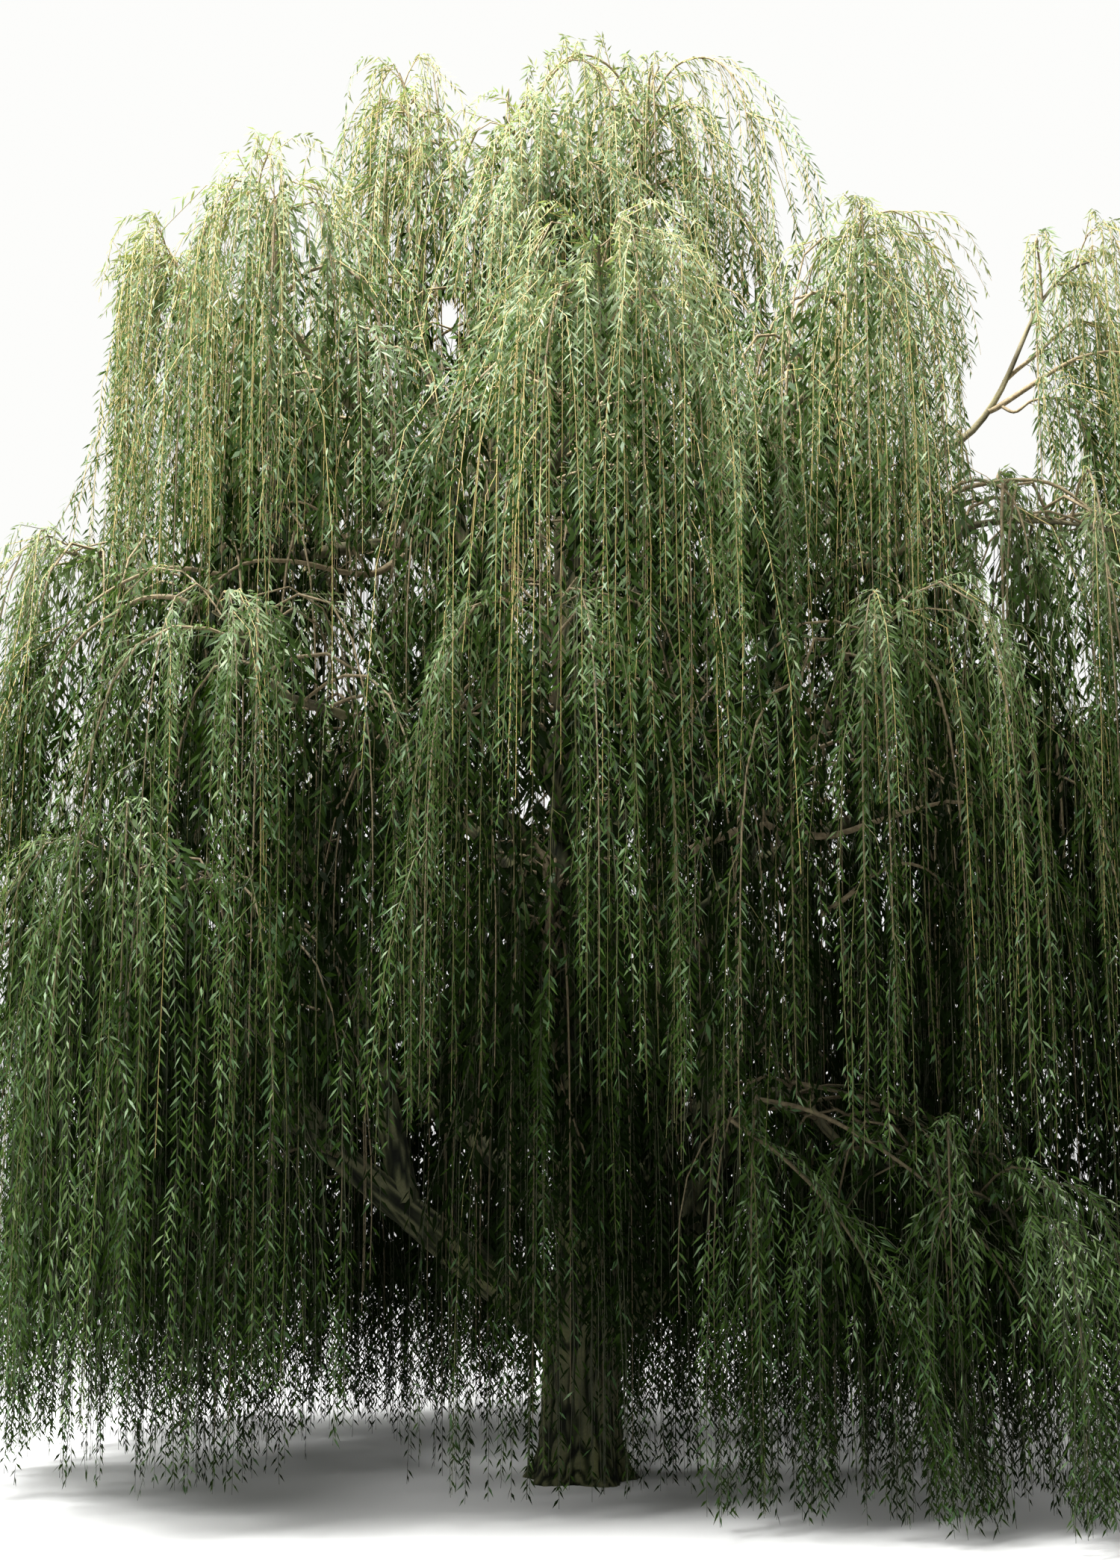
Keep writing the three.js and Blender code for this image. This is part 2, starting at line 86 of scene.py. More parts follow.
# name, parent, share of the parent's length, heading, reach, height, root radius, tip radius, bow, and then what
# hangs from it: out, up, spread, floor. All lengths in millimetres.
BOUGHS = [
    ("leader_middle", "trunk", 0.975, 215, 380, 8300, 98, 50, (-900, 0, 0), (300, 1500, 900, 6900)),
    ("leader_right", "trunk", 0.93, 18, 400, 8700, 88, 46, (-260, 60, 0), (260, 1820, 1000, 7000)),
    ("leader_left", "leader_middle", 0.2, 172, 1200, 8700, 66, 42, (-260, 60, -200), (200, 1760, 680, 7000)),
    ("leader_back", "leader_right", 0.2, 96, 1750, 8000, 62, 42, (0, 300, 0), (300, 1450, 1050, 6400)),
    ("shoulder_front_left", "leader_middle", 0.3, 222, 2500, 7500, 60, 40, (0, 0, 260), (400, 1050, 760, 4900)),
    ("shoulder_left", "leader_left", 0.25, 180, 2700, 7950, 52, 36, (0, 0, 200), (420, 950, 660, 5100)),
    ("shoulder_back_left", "leader_left", 0.4, 136, 2750, 7700, 50, 36, (0, 0, 220), (450, 1250, 1050, 5000)),
    ("shoulder_back", "leader_back", 0.45, 92, 2950, 6900, 50, 36, (0, 0, 220), (450, 950, 1050, 4300)),
    ("shoulder_back_right", "leader_right", 0.45, 44, 2450, 7950, 52, 36, (0, 0, 220), (450, 1250, 980, 4900)),
    ("shoulder_right", "leader_right", 0.32, 2, 2850, 7450, 58, 42, (0, 0, -260), (1080, 1450, 780, 5400)),
    ("shoulder_front_right", "leader_right", 0.22, 320, 2150, 7400, 58, 40, (0, 0, 260), (400, 1050, 900, 4500)),
    ("shoulder_front", "leader_middle", 0.42, 272, 2400, 6850, 56, 40, (0, 0, 240), (450, 850, 1000, 4200)),
    ("right_riser", "trunk", 0.19, 354, 720, 3900, 135, 86, (980, 0, -960), None),
    ("middle_left", "leader_middle", 0.5, 190, 2900, 6050, 60, 40, (0, 0, 420), (900, 350, 900, 2500)),
    ("middle_front_left", "trunk", 0.84, 226, 2700, 5050, 72, 42, (0, 0, 420), (600, 450, 1000, 2200)),
    ("middle_front", "trunk", 0.9, 266, 2250, 5000, 68, 42, (0, 0, 420), (500, 400, 1000, 2300)),
    ("middle_front_right", "right_riser", 0.86, 308, 2600, 4950, 66, 42, (0, 0, 300), (550, 500, 1000, 2100)),
    ("middle_right", "leader_right", 0.12, 344, 2700, 6500, 66, 42, (0, 0, 320), (1300, -180, 950, 2600)),
    ("middle_back_right", "trunk", 0.87, 30, 3100, 5600, 70, 42, (0, 0, 420), (700, 450, 1000, 2400)),
    ("middle_back", "trunk", 0.8, 74, 2950, 5200, 70, 42, (0, 0, 420), (600, 400, 1000, 2200)),
    ("middle_back_left", "trunk", 0.76, 122, 3050, 5300, 70, 42, (0, 0, 420), (600, 450, 1000, 2300)),
    ("low_left", "trunk", 0.178, 184, 3050, 3300, 150, 62, (0, 0, -60), (750, 350, 900, 150)),
    ("left_riser", "low_left", 0.4, 158, 2700, 5000, 92, 52, (350, 0, 250), (900, 450, 1000, 2100)),
    ("low_front_left", "low_left", 0.58, 214, 3050, 3650, 66, 40, (0, 0, 220), (550, 350, 850, 900)),
    ("low_right", "right_riser", 0.97, 356, 3050, 4750, 78, 46, (-350, 0, 330), (850, 350, 1000, 250)),
    ("low_front_right", "right_riser", 0.34, 320, 2050, 2350, 82, 46, (0, 0, 1000), (1350, -650, 850, 120)),
    ("low_back_right", "trunk", 0.3, 50, 3000, 3500, 96, 50, (0, 0, 240), (750, 300, 1000, 150)),
    ("low_back", "trunk", 0.25, 96, 3050, 3300, 110, 52, (0, 0, 200), (750, 300, 1000, 150)),
    ("low_back_left", "trunk", 0.33, 142, 3050, 3400, 92, 50, (0, 0, 240), (750, 300, 1000, 150)),
    ("low_front", "trunk", 0.68, 262, 980, 4050, 62, 44, (0, 0, 180), (450, -850, 520, 150)),
]

# -------- sizes of what only the looks have
END_SLIMMING = 0.68  # how slim a bough's far end is beside the solid's
STEM_TIP_RADIUS = 0.009
STEM_TAPER = 0.85
ARM_RADIUS = 0.016
ARM_TIP_RADIUS = 0.0025
TWIG_RADIUS = 0.0034
SHOOT_RADIUS = 0.0022
TWIG_TIP_RADIUS = 0.0015
LEAF_LENGTH = 0.101
LEAF_WIDTH = 0.0136
LEAF_SPACING = 0.0375
BARE_START = 0.03  # of a twig, before its first leaf
MOST_TRIANGLES = 190000  # in one piece
LIMB_CLEARANCE = 0.02

# How far strands may hang past the solids' box, and how far below its top they stay.
REACH_MARGIN = 0.10
TOP_MARGIN = 0.08

ARMS_ON_STEM = 11
ARMS_ON_BOUGH = 13
MORE_BEHIND = 3  # arms on the low boughs behind the trunk
TWIGS_PER_ARM = 10
FORK_FULLNESS = 2.0
TOP_FULLNESS = 0.95  # of arms that start between the two heights that follow
TOP_HEIGHTS = (9.3, 9.9)
PLUMES_PER_MASS = 22
PLUMES_PER_BOUGH = 26
SHORTEST_TWIG = 0.22
LENGTH_PER_SHOOT = 1.35

# How far arms, twigs and shoots may stray into the space of a neighbour.
STEM_ARM_STRAY = 0.8
BOUGH_ARM_STRAY = 1.3
TWIG_STRAY = 0.9
SHOOT_STRAY = 1.0

# What is hidden from all sides: the share of leaves and twigs that stay, and how many times larger those leaves are.
HIDDEN_SHARE = 0.30
HIDDEN_TWIG_SHARE = 0.5
HIDDEN_LOW_TWIG_SHARE = 0.58
HIDDEN_LENGTH = 1.65
HIDDEN_WIDTH = 3.0
AIR_CELL = 0.3  # the side of a cell in which leaves are counted to tell what is hidden

# What depends on how high a mass hangs. below: its floor is under this height. stem_arms and plumes are added to all
# masses' number. narrowing: the breadth that is left at the stem's end. fullness: twigs on an arm. foot: how far up a
# twig may end, as a share of its root's height. wide, widest: the share of twigs that swing out wide, and how far.
LEVEL_KEYS = ("below", "stem_arms", "breadth", "narrowing", "bough_breadth", "fullness", "foot", "wide", "widest",
              "longest", "plumes")
LOW, _, SHOULDER, LEADER = LEVELS = [dict(zip(LEVEL_KEYS, row)) for row in (
    (1, 4, 1.0, 1.0, 1.7, 1.6, 0.09, 0.18, 0.55, 5.0, 0),
    (3, 0, 1.0, 1.0, 1.55, 1.15, 0.52, 0.30, 0.55, 3.5, 0),
    (6, 0, 1.0, 0.78, 1.55, 1.4, 0.58, 0.48, 0.75, 3.5, 12),
    (99, 4, 1.1, 0.52, 1.55, 1.4, 0.58, 0.48, 0.75, 3.5, 12),
)]
RIGHT_NARROWING = 0.92  # of the shoulders at the right
ASIDE = 1.2  # a mass whose middle is further right, or further back, is at the right, or behind
SWEEP_WIDEST = 0.9

# Arms added where the crown would be thinner than in the photograph.
EXTRA_ARMS = {
    "low_right": 10, "low_front_right": 3, "middle_right": 8, "middle_back_right": 4, "low_back_right": 4,
    "leader_right": 6, "leader_left": 3, "leader_middle": 5, "leader_back": 4, "shoulder_back": 3, "middle_back": 4,
    "middle_back_left": 4, "low_back": 4, "low_back_left": 3,
}

# The camera stands where the photograph was taken from.
CAMERA_PLACE = (-0.139, -15.5, 2.12)
LENS = 50.0
SENSOR = 36.0
PHOTO_WIDTH, PHOTO_HEIGHT = 1500, 2100
HORIZON_DROP, FOCAL_LENGTH = 510, 2917  # in pixels
CAMERA_TILT = math.atan(HORIZON_DROP / FOCAL_LENGTH)

# Places in the photograph: middle and half widths in its pixels, the share of strands or leaves that stay there, and
# the Y up to which this holds. First those that show clear sky, through the crown or beside it.
HOLES = [
    (40, 455, 100, 190, 0, 9), (601, 424, 9, 14, 0, 9), (1349, 372, 17, 75, 0, 9), (1346, 455, 34, 62, 0, 9),
    (1338, 535, 46, 62, 0, 9), (1316, 590, 24, 20, 0, 9),
]
# Where leaves thin out, or let a limb be seen.
OPENINGS = [
    (601, 424, 22, 30, 0.35, 9), (728, 775, 48, 85, 0.45, 9), (520, 735, 80, 60, 0.55, 9), (455, 860, 40, 70, 0.5, 9),
    (640, 640, 40, 70, 0.5, 9), (940, 1540, 60, 90, 0.45, -0.2), (440, 1560, 80, 90, 0.5, -0.3),
    (785, 1880, 45, 120, 0.4, -0.3),
]
# Where strands in front of a limb end, so that it shows.
EDGES = [
    (480, 765, 80, 18, 0.2, -1.0), (345, 752, 100, 20, 0.2, -1.35), (262, 800, 40, 36, 0.25, -1.65),
    (160, 800, 110, 30, 0.3, -1.35), (1365, 668, 120, 16, 0.35, -1.0), (585, 1640, 165, 125, 0.3, 0.05),
    (800, 1830, 100, 150, 0.4, -0.3), (738, 1230, 22, 80, 0.3, -1.4), (762, 1450, 24, 130, 0.35, -1.45),
    (1050, 1480, 70, 34, 0.3, -1.9), (1240, 1580, 120, 34, 0.35, -2.3), (1110, 1108, 190, 20, 0.4, -1.6),
]
RAGGED_FROM, RAGGED_BY = 0.6, 0.8  # the edge of such a place is drawn in or out by chance, but not that of a hole


def lerp(a, b, t):
    return a + (b - a) * t


def smoothstep(x, low, high):
    t = np.clip((x - low) / (high - low), 0, 1)
    return t * t * (3 - 2 * t)


def any_heading(n):
    return heading_vector(rng.uniform(0, 360, n))


def unit(v):
    return v / np.maximum(np.linalg.norm(v, axis=-1, keepdims=True), 1e-9)


def heading_vector(heading):
    a = np.radians(heading)
    return np.stack([np.cos(a), np.sin(a), np.zeros_like(a)], axis=-1)


def in_photo(points):
    """Where points show in the photograph, in its pixels."""
    focal = LENS / SENSOR * PHOTO_HEIGHT
    d = points - np.array(CAMERA_PLACE)
    ahead = d[..., 1] * math.cos(CAMERA_TILT) + d[..., 2] * math.sin(CAMERA_TILT)
    rise = -d[..., 1] * math.sin(CAMERA_TILT) + d[..., 2] * math.cos(CAMERA_TILT)
    return PHOTO_WIDTH / 2 + focal * d[..., 0] / ahead, PHOTO_HEIGHT / 2 - focal * rise / ahead


def in_places(points, rows, edge=1.0, chance=0.0):
    """True for the points that are left out so that the sky or a limb shows where it does in the photograph."""
    u, v = in_photo(points)
    out = np.zeros(u.shape, bool)
    for u0, v0, ru, rv, kept, deepest in rows:
        near = ((u - u0) / ru) ** 2 + ((v - v0) / rv) ** 2 < edge
        out |= near & (points[..., 1] < deepest) & (chance >= kept)
    return out


def in_ragged(points, rows, chance):
    return in_places(points, rows, RAGGED_FROM + RAGGED_BY * chance, chance)


class Path:
    """A smooth line through many points that is followed by its share of length."""

    def __init__(self, points):
        self.points = np.asarray(points, float)
        steps = np.linalg.norm(np.diff(self.points, axis=0), axis=1)
        self.length = steps.sum()
        self.shares = np.concatenate([[0], np.cumsum(steps)]) / self.length

    def at(self, share):
        return np.stack([np.interp(share, self.shares, self.points[:, k]) for k in range(3)], axis=-1)

    def along(self, share):
        share = np.asarray(share, float)
        return unit(self.at(np.minimum(share + 0.01, 1)) - self.at(np.maximum(share - 0.01, 0)))


def bezier(*controls):
    """A Bezier curve of any degree as a Path."""
    t = np.linspace(0, 1, 121)[:, None]
    n = len(controls) - 1
    return Path(sum(math.comb(n, k) * (1 - t) ** (n - k) * t**k * np.asarray(c) for k, c in enumerate(controls)))


def smooth_through(points, per_run=9):
    """A Path that bends smoothly through a few points."""
    p = np.asarray(points, float)
    p = np.vstack([2 * p[0] - p[1], p, 2 * p[-1] - p[-2]])
    t = np.linspace(0, 1, per_run, endpoint=False)[:, None]
    runs = []
    for a, b, c, d in zip(p, p[1:], p[2:], p[3:]):
        runs.append(0.5 * (2 * b + (c - a) * t + (2 * a - 5 * b + 4 * c - d) * t**2 + (3 * b - a - 3 * c + d) * t**3))
    return Path(np.vstack(runs + [p[-2:-1]]))


# -------- limbs
def trunk_middle(height):
    height = np.asarray(height, float)
    share = height / TRUNK_HEIGHT
    sway = TRUNK_SWAY * np.sin(share * math.pi * 2) * share
    return np.stack([TRUNK_LEAN * share * share + sway, sway * 0.6, height], axis=-1)


def trunk_radius(height, turn):
    above_fork = smoothstep(height, FORK_HEIGHT - FORK_BLEND, FORK_HEIGHT + FORK_BLEND)
    stem = lerp(STEM_RADIUS, TRUNK_TIP_RADIUS, np.maximum(0, height - FORK_HEIGHT) / (TRUNK_HEIGHT - FORK_HEIGHT))
    flare = np.exp(-height / FLARE_HEIGHT)
    lobes = 1 + ROOT_LOBE_SHARE * flare * np.cos(ROOT_LOBES * turn + 0.6)
    return (lerp(BUTT_RADIUS, stem, above_fork) + FLARE_RADIUS * flare) * lobes


limbs = {"trunk": {"path": Path(trunk_middle(np.linspace(0, TRUNK_HEIGHT, 121)))}}
for name, parent, at, heading, reach, height, root, tip, bow, foliage in BOUGHS:
    start = trunk_middle(TRUNK_HEIGHT * at) if parent == "trunk" else limbs[parent]["path"].at(at)
    end = heading_vector(heading) * reach / 1000 + UP * height / 1000
    control = (start + end) / 2 + np.array(bow) / 1000
    foliage = foliage and np.array(foliage) / 1000
    path = bezier(start, control, end)
    limbs[name] = dict(path=path, root=root / 1000, tip=tip / 1000, heading=heading, foliage=foliage)


def stem_path(limb):
    """The stem of a mass, from its bough's tip on."""
    out, up = limb["foliage"][:2]
    onward = limb["path"].along(1.0)
    outward = heading_vector(limb["heading"])
    start = limb["path"].at(1.0)

    def at(reach, rise):
        return start + outward * out * reach + UP * up * rise

    leave = start + onward * math.hypot(out, up) * 0.35
    over = at(0.45, 0.9) if up > 0 else at(0.9, 0.35)
    return bezier(start, leave, over, at(1, 1))


masses = []
for name, limb in limbs.items():
    if limb.get("foliage") is None:
        continue
    spread, floor = limb["foliage"][2:]
    path = stem_path(limb)
    centre = path.at(1.0) + heading_vector(limb["heading"]) * spread * 0.3 - UP * SPACE_DROP
    level = next(level for level in LEVELS if floor < level["below"])
    masses.append(dict(name=name, limb=limb, path=path, centre=centre, spread=spread, floor=floor, level=level))
CENTRES = np.array([m["centre"] for m in masses])
IS_LOW = np.array([m["level"] is LOW for m in masses])


def strays(points, mass_index, most):
    """True where points are further out of their mass's space, into another's, than a small overlap."""
    d = points[..., None, :] - CENTRES
    far = np.sqrt(d[..., 0] ** 2 + d[..., 1] ** 2 + (d[..., 2] * HEIGHT_WEIGHT) ** 2)
    index = np.broadcast_to(np.asarray(mass_index)[..., None], far.shape[:-1] + (1,))
    own = np.take_along_axis(far, index, -1)[..., 0]
    return own - far.min(axis=-1) > most


def out_of_reach(points):
    """True where points are outside the reach of the solids, or too near the ground."""
    low = np.array(cad_low) - REACH_MARGIN
    high = np.array(cad_high) + (REACH_MARGIN, REACH_MARGIN, -TOP_MARGIN)
    return ((points < low) | (points > high)).any(axis=-1) | (points[..., 2] < GROUND_CLEARANCE)


# Cells of a coarse grid that a limb fills, so that nothing grows through one.
CELL = 0.06
GRID_LOW = np.array([-5.2, -5.2, -0.3])
GRID_SHAPE = np.array([175, 175, 190])
blocked = np.zeros(GRID_SHAPE, bool)


def cells_of(points):
    return np.clip(((points - GRID_LOW) / CELL).astype(int), 0, GRID_SHAPE - 1)


def block(points, radii):
    for p, r in zip(points, radii):
        low, high = cells_of(p - r - CELL), cells_of(p + r + CELL) + 1
        axes = [GRID_LOW[k] + (np.arange(low[k], high[k]) + 0.5) * CELL - p[k] for k in range(3)]
        near = axes[0][:, None, None] ** 2 + axes[1][None, :, None] ** 2 + axes[2][None, None, :] ** 2 < r * r
        blocked[low[0]:high[0], low[1]:high[1], low[2]:high[2]] |= near


def in_limb(points):
    c = cells_of(points)
    return blocked[c[..., 0], c[..., 1], c[..., 2]]


def bough_radius(limb, share):
    slim = lerp(1.0, END_SLIMMING, smoothstep(share, 0.35, 1.0))
    return lerp(limb["root"], limb["tip"], share) * (1 + COLLAR_SHARE * (1 - share) ** 8) * slim


for name, limb in limbs.items():
    share = np.linspace(0.02, 1, int(limb["path"].length / 0.04))
    radii = trunk_radius(share * TRUNK_HEIGHT, 0.0) if name == "trunk" else bough_radius(limb, share)
    block(limb["path"].at(share), radii + LIMB_CLEARANCE)


# -------- arms
arms = []
DRAWN_IN = (1, 0.88, 0.76, 0.64, 0.52, 0.4)  # the sizes that are tried, one after another, until an arm fits
ARM_REACHES = (0, 0.3, 0.72, 1.06, 1.05, 1.03)  # of the points that steer its curve, as shares of its width
ARM_TURN = 0.9  # the share of an arm's length by which it has turned down, at most


def add_arm(index, heading, path, arch, radius, sweeps=False):
    """An arm of a mass. arch: the share of its length that arches over. sweeps: its twigs swing out wide."""
    arms.append(dict(mass=index, heading=heading, path=path, arch=arch, radius=radius, sweeps=sweeps))


def grow_arm(index, start, heading, spread, most, radius, onto_limb=3):
    """An arm by the source's rule: it rises and swings out, turns down and hangs, drawn in until it fits."""
    floor = masses[index]["floor"]
    lift = lerp(*ARCH_RISE, 1.6 * rng.random() ** 2)
    width = spread * lerp(0.6, 1.05, rng.random())
    lowest = min(lerp(floor, start[2], 0.3 * rng.random()) + SPRAY_LENGTH * 0.2, start[2] - 0.4)
    outward = heading_vector(heading)
    for share in DRAWN_IN:
        w, foot = width * lerp(0.5, 1, share), lerp(start[2], lowest, share)
        arch = start[2] + lift
        shoulder = arch - w * 0.16
        heights = [start[2], arch + 0.04, arch + lift * 0.7, shoulder, lerp(shoulder, foot, 0.42), foot]
        path = bezier(*[start + outward * w * r + UP * (h - start[2]) for r, h in zip(ARM_REACHES, heights)])
        samples = path.at(np.linspace(0, 1, 25))
        bad = strays(samples, index, most) | out_of_reach(samples) | in_places(samples, HOLES)
        if not bad.any() and not in_limb(samples[onto_limb:]).any():
            arch_length = math.hypot(0.42 * w, lift) + 0.6 * w
            add_arm(index, heading, path, min(arch_length / path.length, ARM_TURN), radius)
            return


for index, mass in enumerate(masses):
    limb, level, more = mass["limb"], mass["level"], EXTRA_ARMS.get(mass["name"], 0)
    right, behind = mass["centre"][0] > ASIDE, mass["centre"][1] > ASIDE
    narrowing = RIGHT_NARROWING if level is SHOULDER and right else level["narrowing"]
    on_stem = ARMS_ON_STEM + level["stem_arms"] + more
    for k in range(on_stem):
        share = lerp(0.25, 0.98, (k + 0.7) / (on_stem - 0.3))
        heading = limb["heading"] + GOLDEN_ANGLE * (k + 1) + 20 * (rng.random() - 0.5)
        spread = mass["spread"] * level["breadth"] * lerp(1.0, narrowing, share)
        radius = min(lerp(limb["tip"], STEM_TIP_RADIUS, share**STEM_TAPER) * 0.6, ARM_RADIUS)
        grow_arm(index, mass["path"].at(share), heading, spread, STEM_ARM_STRAY, radius)
    # Arms from the bough itself fill the space between this mass and its neighbours.
    on_bough = ARMS_ON_BOUGH + (MORE_BEHIND if level is LOW and behind else 0) + more // 2
    for k in range(on_bough):
        share = lerp(0.4, 1.0, ((k + 0.5) / on_bough) ** 0.7)
        aside = GOLDEN_ANGLE * k if level is LEADER else (90 if k % 2 else -90) + rng.uniform(-35, 35)
        spread = mass["spread"] * level["bough_breadth"]
        grow_arm(index, limb["path"].at(share), limb["heading"] + aside, spread, BOUGH_ARM_STRAY, ARM_RADIUS, 5)

# Limbs and sprays that the photograph shows, as arms: their mass, their radius at the root, and the points, in
# centimetres, that they go through.
FORKS = [
    ("leader_right", 0.012, (47, 13, 990), (36, 0, 1024), (16, -10, 1042), (-8, -20, 1038), (-28, -25, 1010),
     (-36, -27, 960)),
    ("leader_right", 0.012, (50, 15, 1010), (36, 30, 1036), (14, 45, 1044), (-6, 50, 1030), (-18, 55, 990)),
    ("leader_right", 0.012, (56, 15, 1020), (75, 0, 1042), (100, -15, 1040), (120, -25, 1013), (130, -30, 960)),
    ("leader_middle", 0.012, (-45, -30, 960), (-30, -40, 996), (-10, -50, 1018), (10, -55, 1013), (24, -60, 985),
     (30, -60, 940)),
    ("shoulder_right", 0.024, (307, 10, 768), (315, 10, 772), (333, 10, 784), (348, 10, 794), (362, 10, 803),
     (380, 8, 811), (405, 5, 813), (425, 0, 795), (433, 0, 760)),
    ("shoulder_right", 0.018, (320, 11, 792), (330, 15, 802), (346, 20, 816), (362, 25, 832), (376, 30, 845),
     (395, 40, 850), (410, 45, 835), (418, 50, 800)),
    ("shoulder_right", 0.014, (316, 10, 773), (326, 5, 766), (338, 0, 773), (355, -3, 774), (368, -5, 766),
     (378, -5, 735)),
    ("middle_right", 0.024, (238, -68, 651), (252, -75, 668), (272, -85, 679), (310, -95, 681), (332, -100, 674),
     (353, -105, 655), (372, -110, 635), (385, -115, 600)),
    ("middle_right", 0.016, (255, -77, 670), (262, -90, 678), (275, -110, 676), (290, -130, 660), (298, -140, 630),
     (300, -145, 590)),
    ("middle_right", 0.014, (290, -90, 680), (300, -60, 698), (312, -30, 696), (320, -10, 675), (325, 0, 640)),
    ("low_front_right", 0.016, (107, -175, 253), (143, -190, 244), (182, -205, 221), (219, -220, 190),
     (251, -230, 147), (275, -235, 96), (289, -240, 50)),
    ("low_front_right", 0.015, (92, -190, 239), (126, -210, 212), (155, -225, 177), (179, -235, 130), (195, -240, 79),
     (202, -240, 42)),
    ("low_front_right", 0.015, (134, -150, 264), (175, -160, 254), (224, -170, 230), (272, -180, 198),
     (305, -190, 149), (324, -195, 92)),
    ("low_front", 0.024, (-31, -125, 426), (-20, -135, 395), (-22, -142, 363), (-25, -145, 335), (-23, -148, 303),
     (-16, -150, 271), (-8, -152, 247), (2, -153, 219), (8, -153, 193), (10, -153, 157)),
    ("middle_front_right", 0.036, (63, -110, 411), (83, -125, 422), (121, -140, 431), (158, -150, 422),
     (195, -160, 432), (240, -170, 442), (270, -175, 428), (286, -180, 384)),
    ("middle_front_right", 0.02, (154, -160, 370), (170, -165, 381), (186, -170, 394), (207, -175, 401),
     (227, -180, 389), (238, -180, 356)),
    ("middle_left", 0.028, (-125, -60, 636), (-143, -90, 615), (-164, -110, 611), (-190, -130, 612),
     (-221, -145, 608), (-240, -158, 591), (-252, -166, 571), (-258, -170, 537)),
    ("middle_left", 0.017, (-145, -95, 614), (-161, -110, 635), (-174, -115, 649), (-190, -120, 657),
     (-202, -122, 653), (-208, -125, 625)),
    ("middle_left", 0.02, (-252, -166, 571), (-267, -166, 578), (-288, -166, 577), (-307, -166, 566),
     (-325, -166, 553), (-339, -166, 531), (-343, -166, 503)),
    ("middle_left", 0.018, (-240, -130, 603), (-271, -138, 606), (-293, -140, 601), (-314, -140, 590),
     (-335, -140, 574), (-351, -140, 553), (-359, -140, 524)),
]
SWEEPING = "low_front_right"
names = [m["name"] for m in masses]
for name, radius, *points in FORKS:
    index, path = names.index(name), smooth_through(np.array(points) / 100)
    add_arm(index, masses[index]["limb"]["heading"], path, 0.8, radius, name == SWEEPING)

# -------- hanging twigs
# A twig leaves along a first direction and bends down over a short length, so its place at a length t along it has a
# closed form, which the twig's mesh and its leaves both use.
batches = []


def batch(index, root, first, bend, length):
    """Adds twigs of one mass. bend: the length over which one bends down."""
    n = len(root)
    batches.append({
        "mass": np.full(n, index), "root": root, "first": first,
        "bend": np.broadcast_to(bend, n).astype(float), "length": np.broadcast_to(length, n).astype(float),
    })


for number, arm in enumerate(arms):
    mass = masses[arm["mass"]]
    level = mass["level"]
    facing = math.cos(math.radians(arm["heading"] - mass["limb"]["heading"]))
    at_top = float(smoothstep(arm["path"].points[0, 2], *TOP_HEIGHTS))
    fullness = lerp(level["fullness"], TOP_FULLNESS, at_top)
    fullness *= FORK_FULLNESS if number >= len(arms) - len(FORKS) else 1
    count = int(round(TWIGS_PER_ARM * (1 + 0.2 * facing) * fullness))
    # Most twigs leave the arm where it arches over, and the rest where it hangs.
    order = (np.arange(count) + rng.random(count)) / count
    share = np.where(order < 0.7, order / 0.7 * arm["arch"], arm["arch"] + (order - 0.7) / 0.3 * (0.8 - arm["arch"]))
    share = np.clip(share, 0.03, 0.9)
    root = arm["path"].at(share)
    turn = np.where(np.arange(count) % 2, 1, -1) * rng.uniform(10, 70, count)
    aside = heading_vector(arm["heading"] + turn)
    first = unit(arm["path"].along(share) * 0.7 + aside * rng.uniform(0.3, 0.9, count)[:, None]
                 + UP * rng.uniform(-0.05, 0.45, count)[:, None])
    foot = lerp(mass["floor"], root[:, 2], level["foot"] * rng.random(count) ** 1.6)
    wide = rng.random(count) < (1.0 if arm["sweeps"] else level["wide"])
    widest = SWEEP_WIDEST if arm["sweeps"] else level["widest"]
    bend = rng.uniform(0.10, 0.34, count) + rng.uniform(0.2, widest, count) * wide
    batch(arm["mass"], root, first, bend, np.clip(root[:, 2] - foot + 0.9 * bend, 0.3, level["longest"]))


def add_plumes(index, path, n, shares, rises, widest, longest):
    """Short twigs that rise from the top of a limb and arch over, which make the feathery tops."""
    root = path.at(rng.uniform(*shares, n))
    first = unit(any_heading(n) + UP * rng.uniform(*rises, n)[:, None])
    batch(index, root, first, rng.uniform(0.22, widest, n), rng.uniform(0.7, longest, n))


for index, mass in enumerate(masses):
    add_plumes(index, mass["path"], PLUMES_PER_MASS + mass["level"]["plumes"], (0.2, 1.0), (0.2, 1.3), 0.62, 2.0)
# Those on the shoulders' boughs close the crown from above.
for index, mass in enumerate(masses):
    if mass["level"] is SHOULDER:
        add_plumes(index, mass["limb"]["path"], PLUMES_PER_BOUGH, (0.35, 0.95), (0.3, 1.2), 0.6, 1.8)


def finished(t):
    n = len(t["mass"])
    t["swing"] = rng.uniform(0.004, 0.016, n)
    t["wave"] = rng.uniform(1.2, 2.6, n)
    t["phase"] = rng.uniform(0, 2 * math.pi, n)
    t["lean"] = any_heading(n)
    t["drift"] = rng.uniform(0.0, 0.05, n)
    return t


def twig_at(t, which, along):
    """Points on twigs at a length along them."""
    bend = t["bend"][which][..., None]
    s = along[..., None]
    out = bend * (1 - np.exp(-s / bend))
    sway = t["swing"][which] * (np.sin(along * 2 * math.pi / t["wave"][which] + t["phase"][which])
                                - np.sin(t["phase"][which])) * np.minimum(along / 0.4, 1)
    sway = sway + t["drift"][which] * (along / 2) ** 2
    return t["root"][which] + t["first"][which] * out + DOWN * (s - out) + t["lean"][which] * sway[..., None]


def select(t, keep):
    return {k: v[keep] for k, v in t.items()}


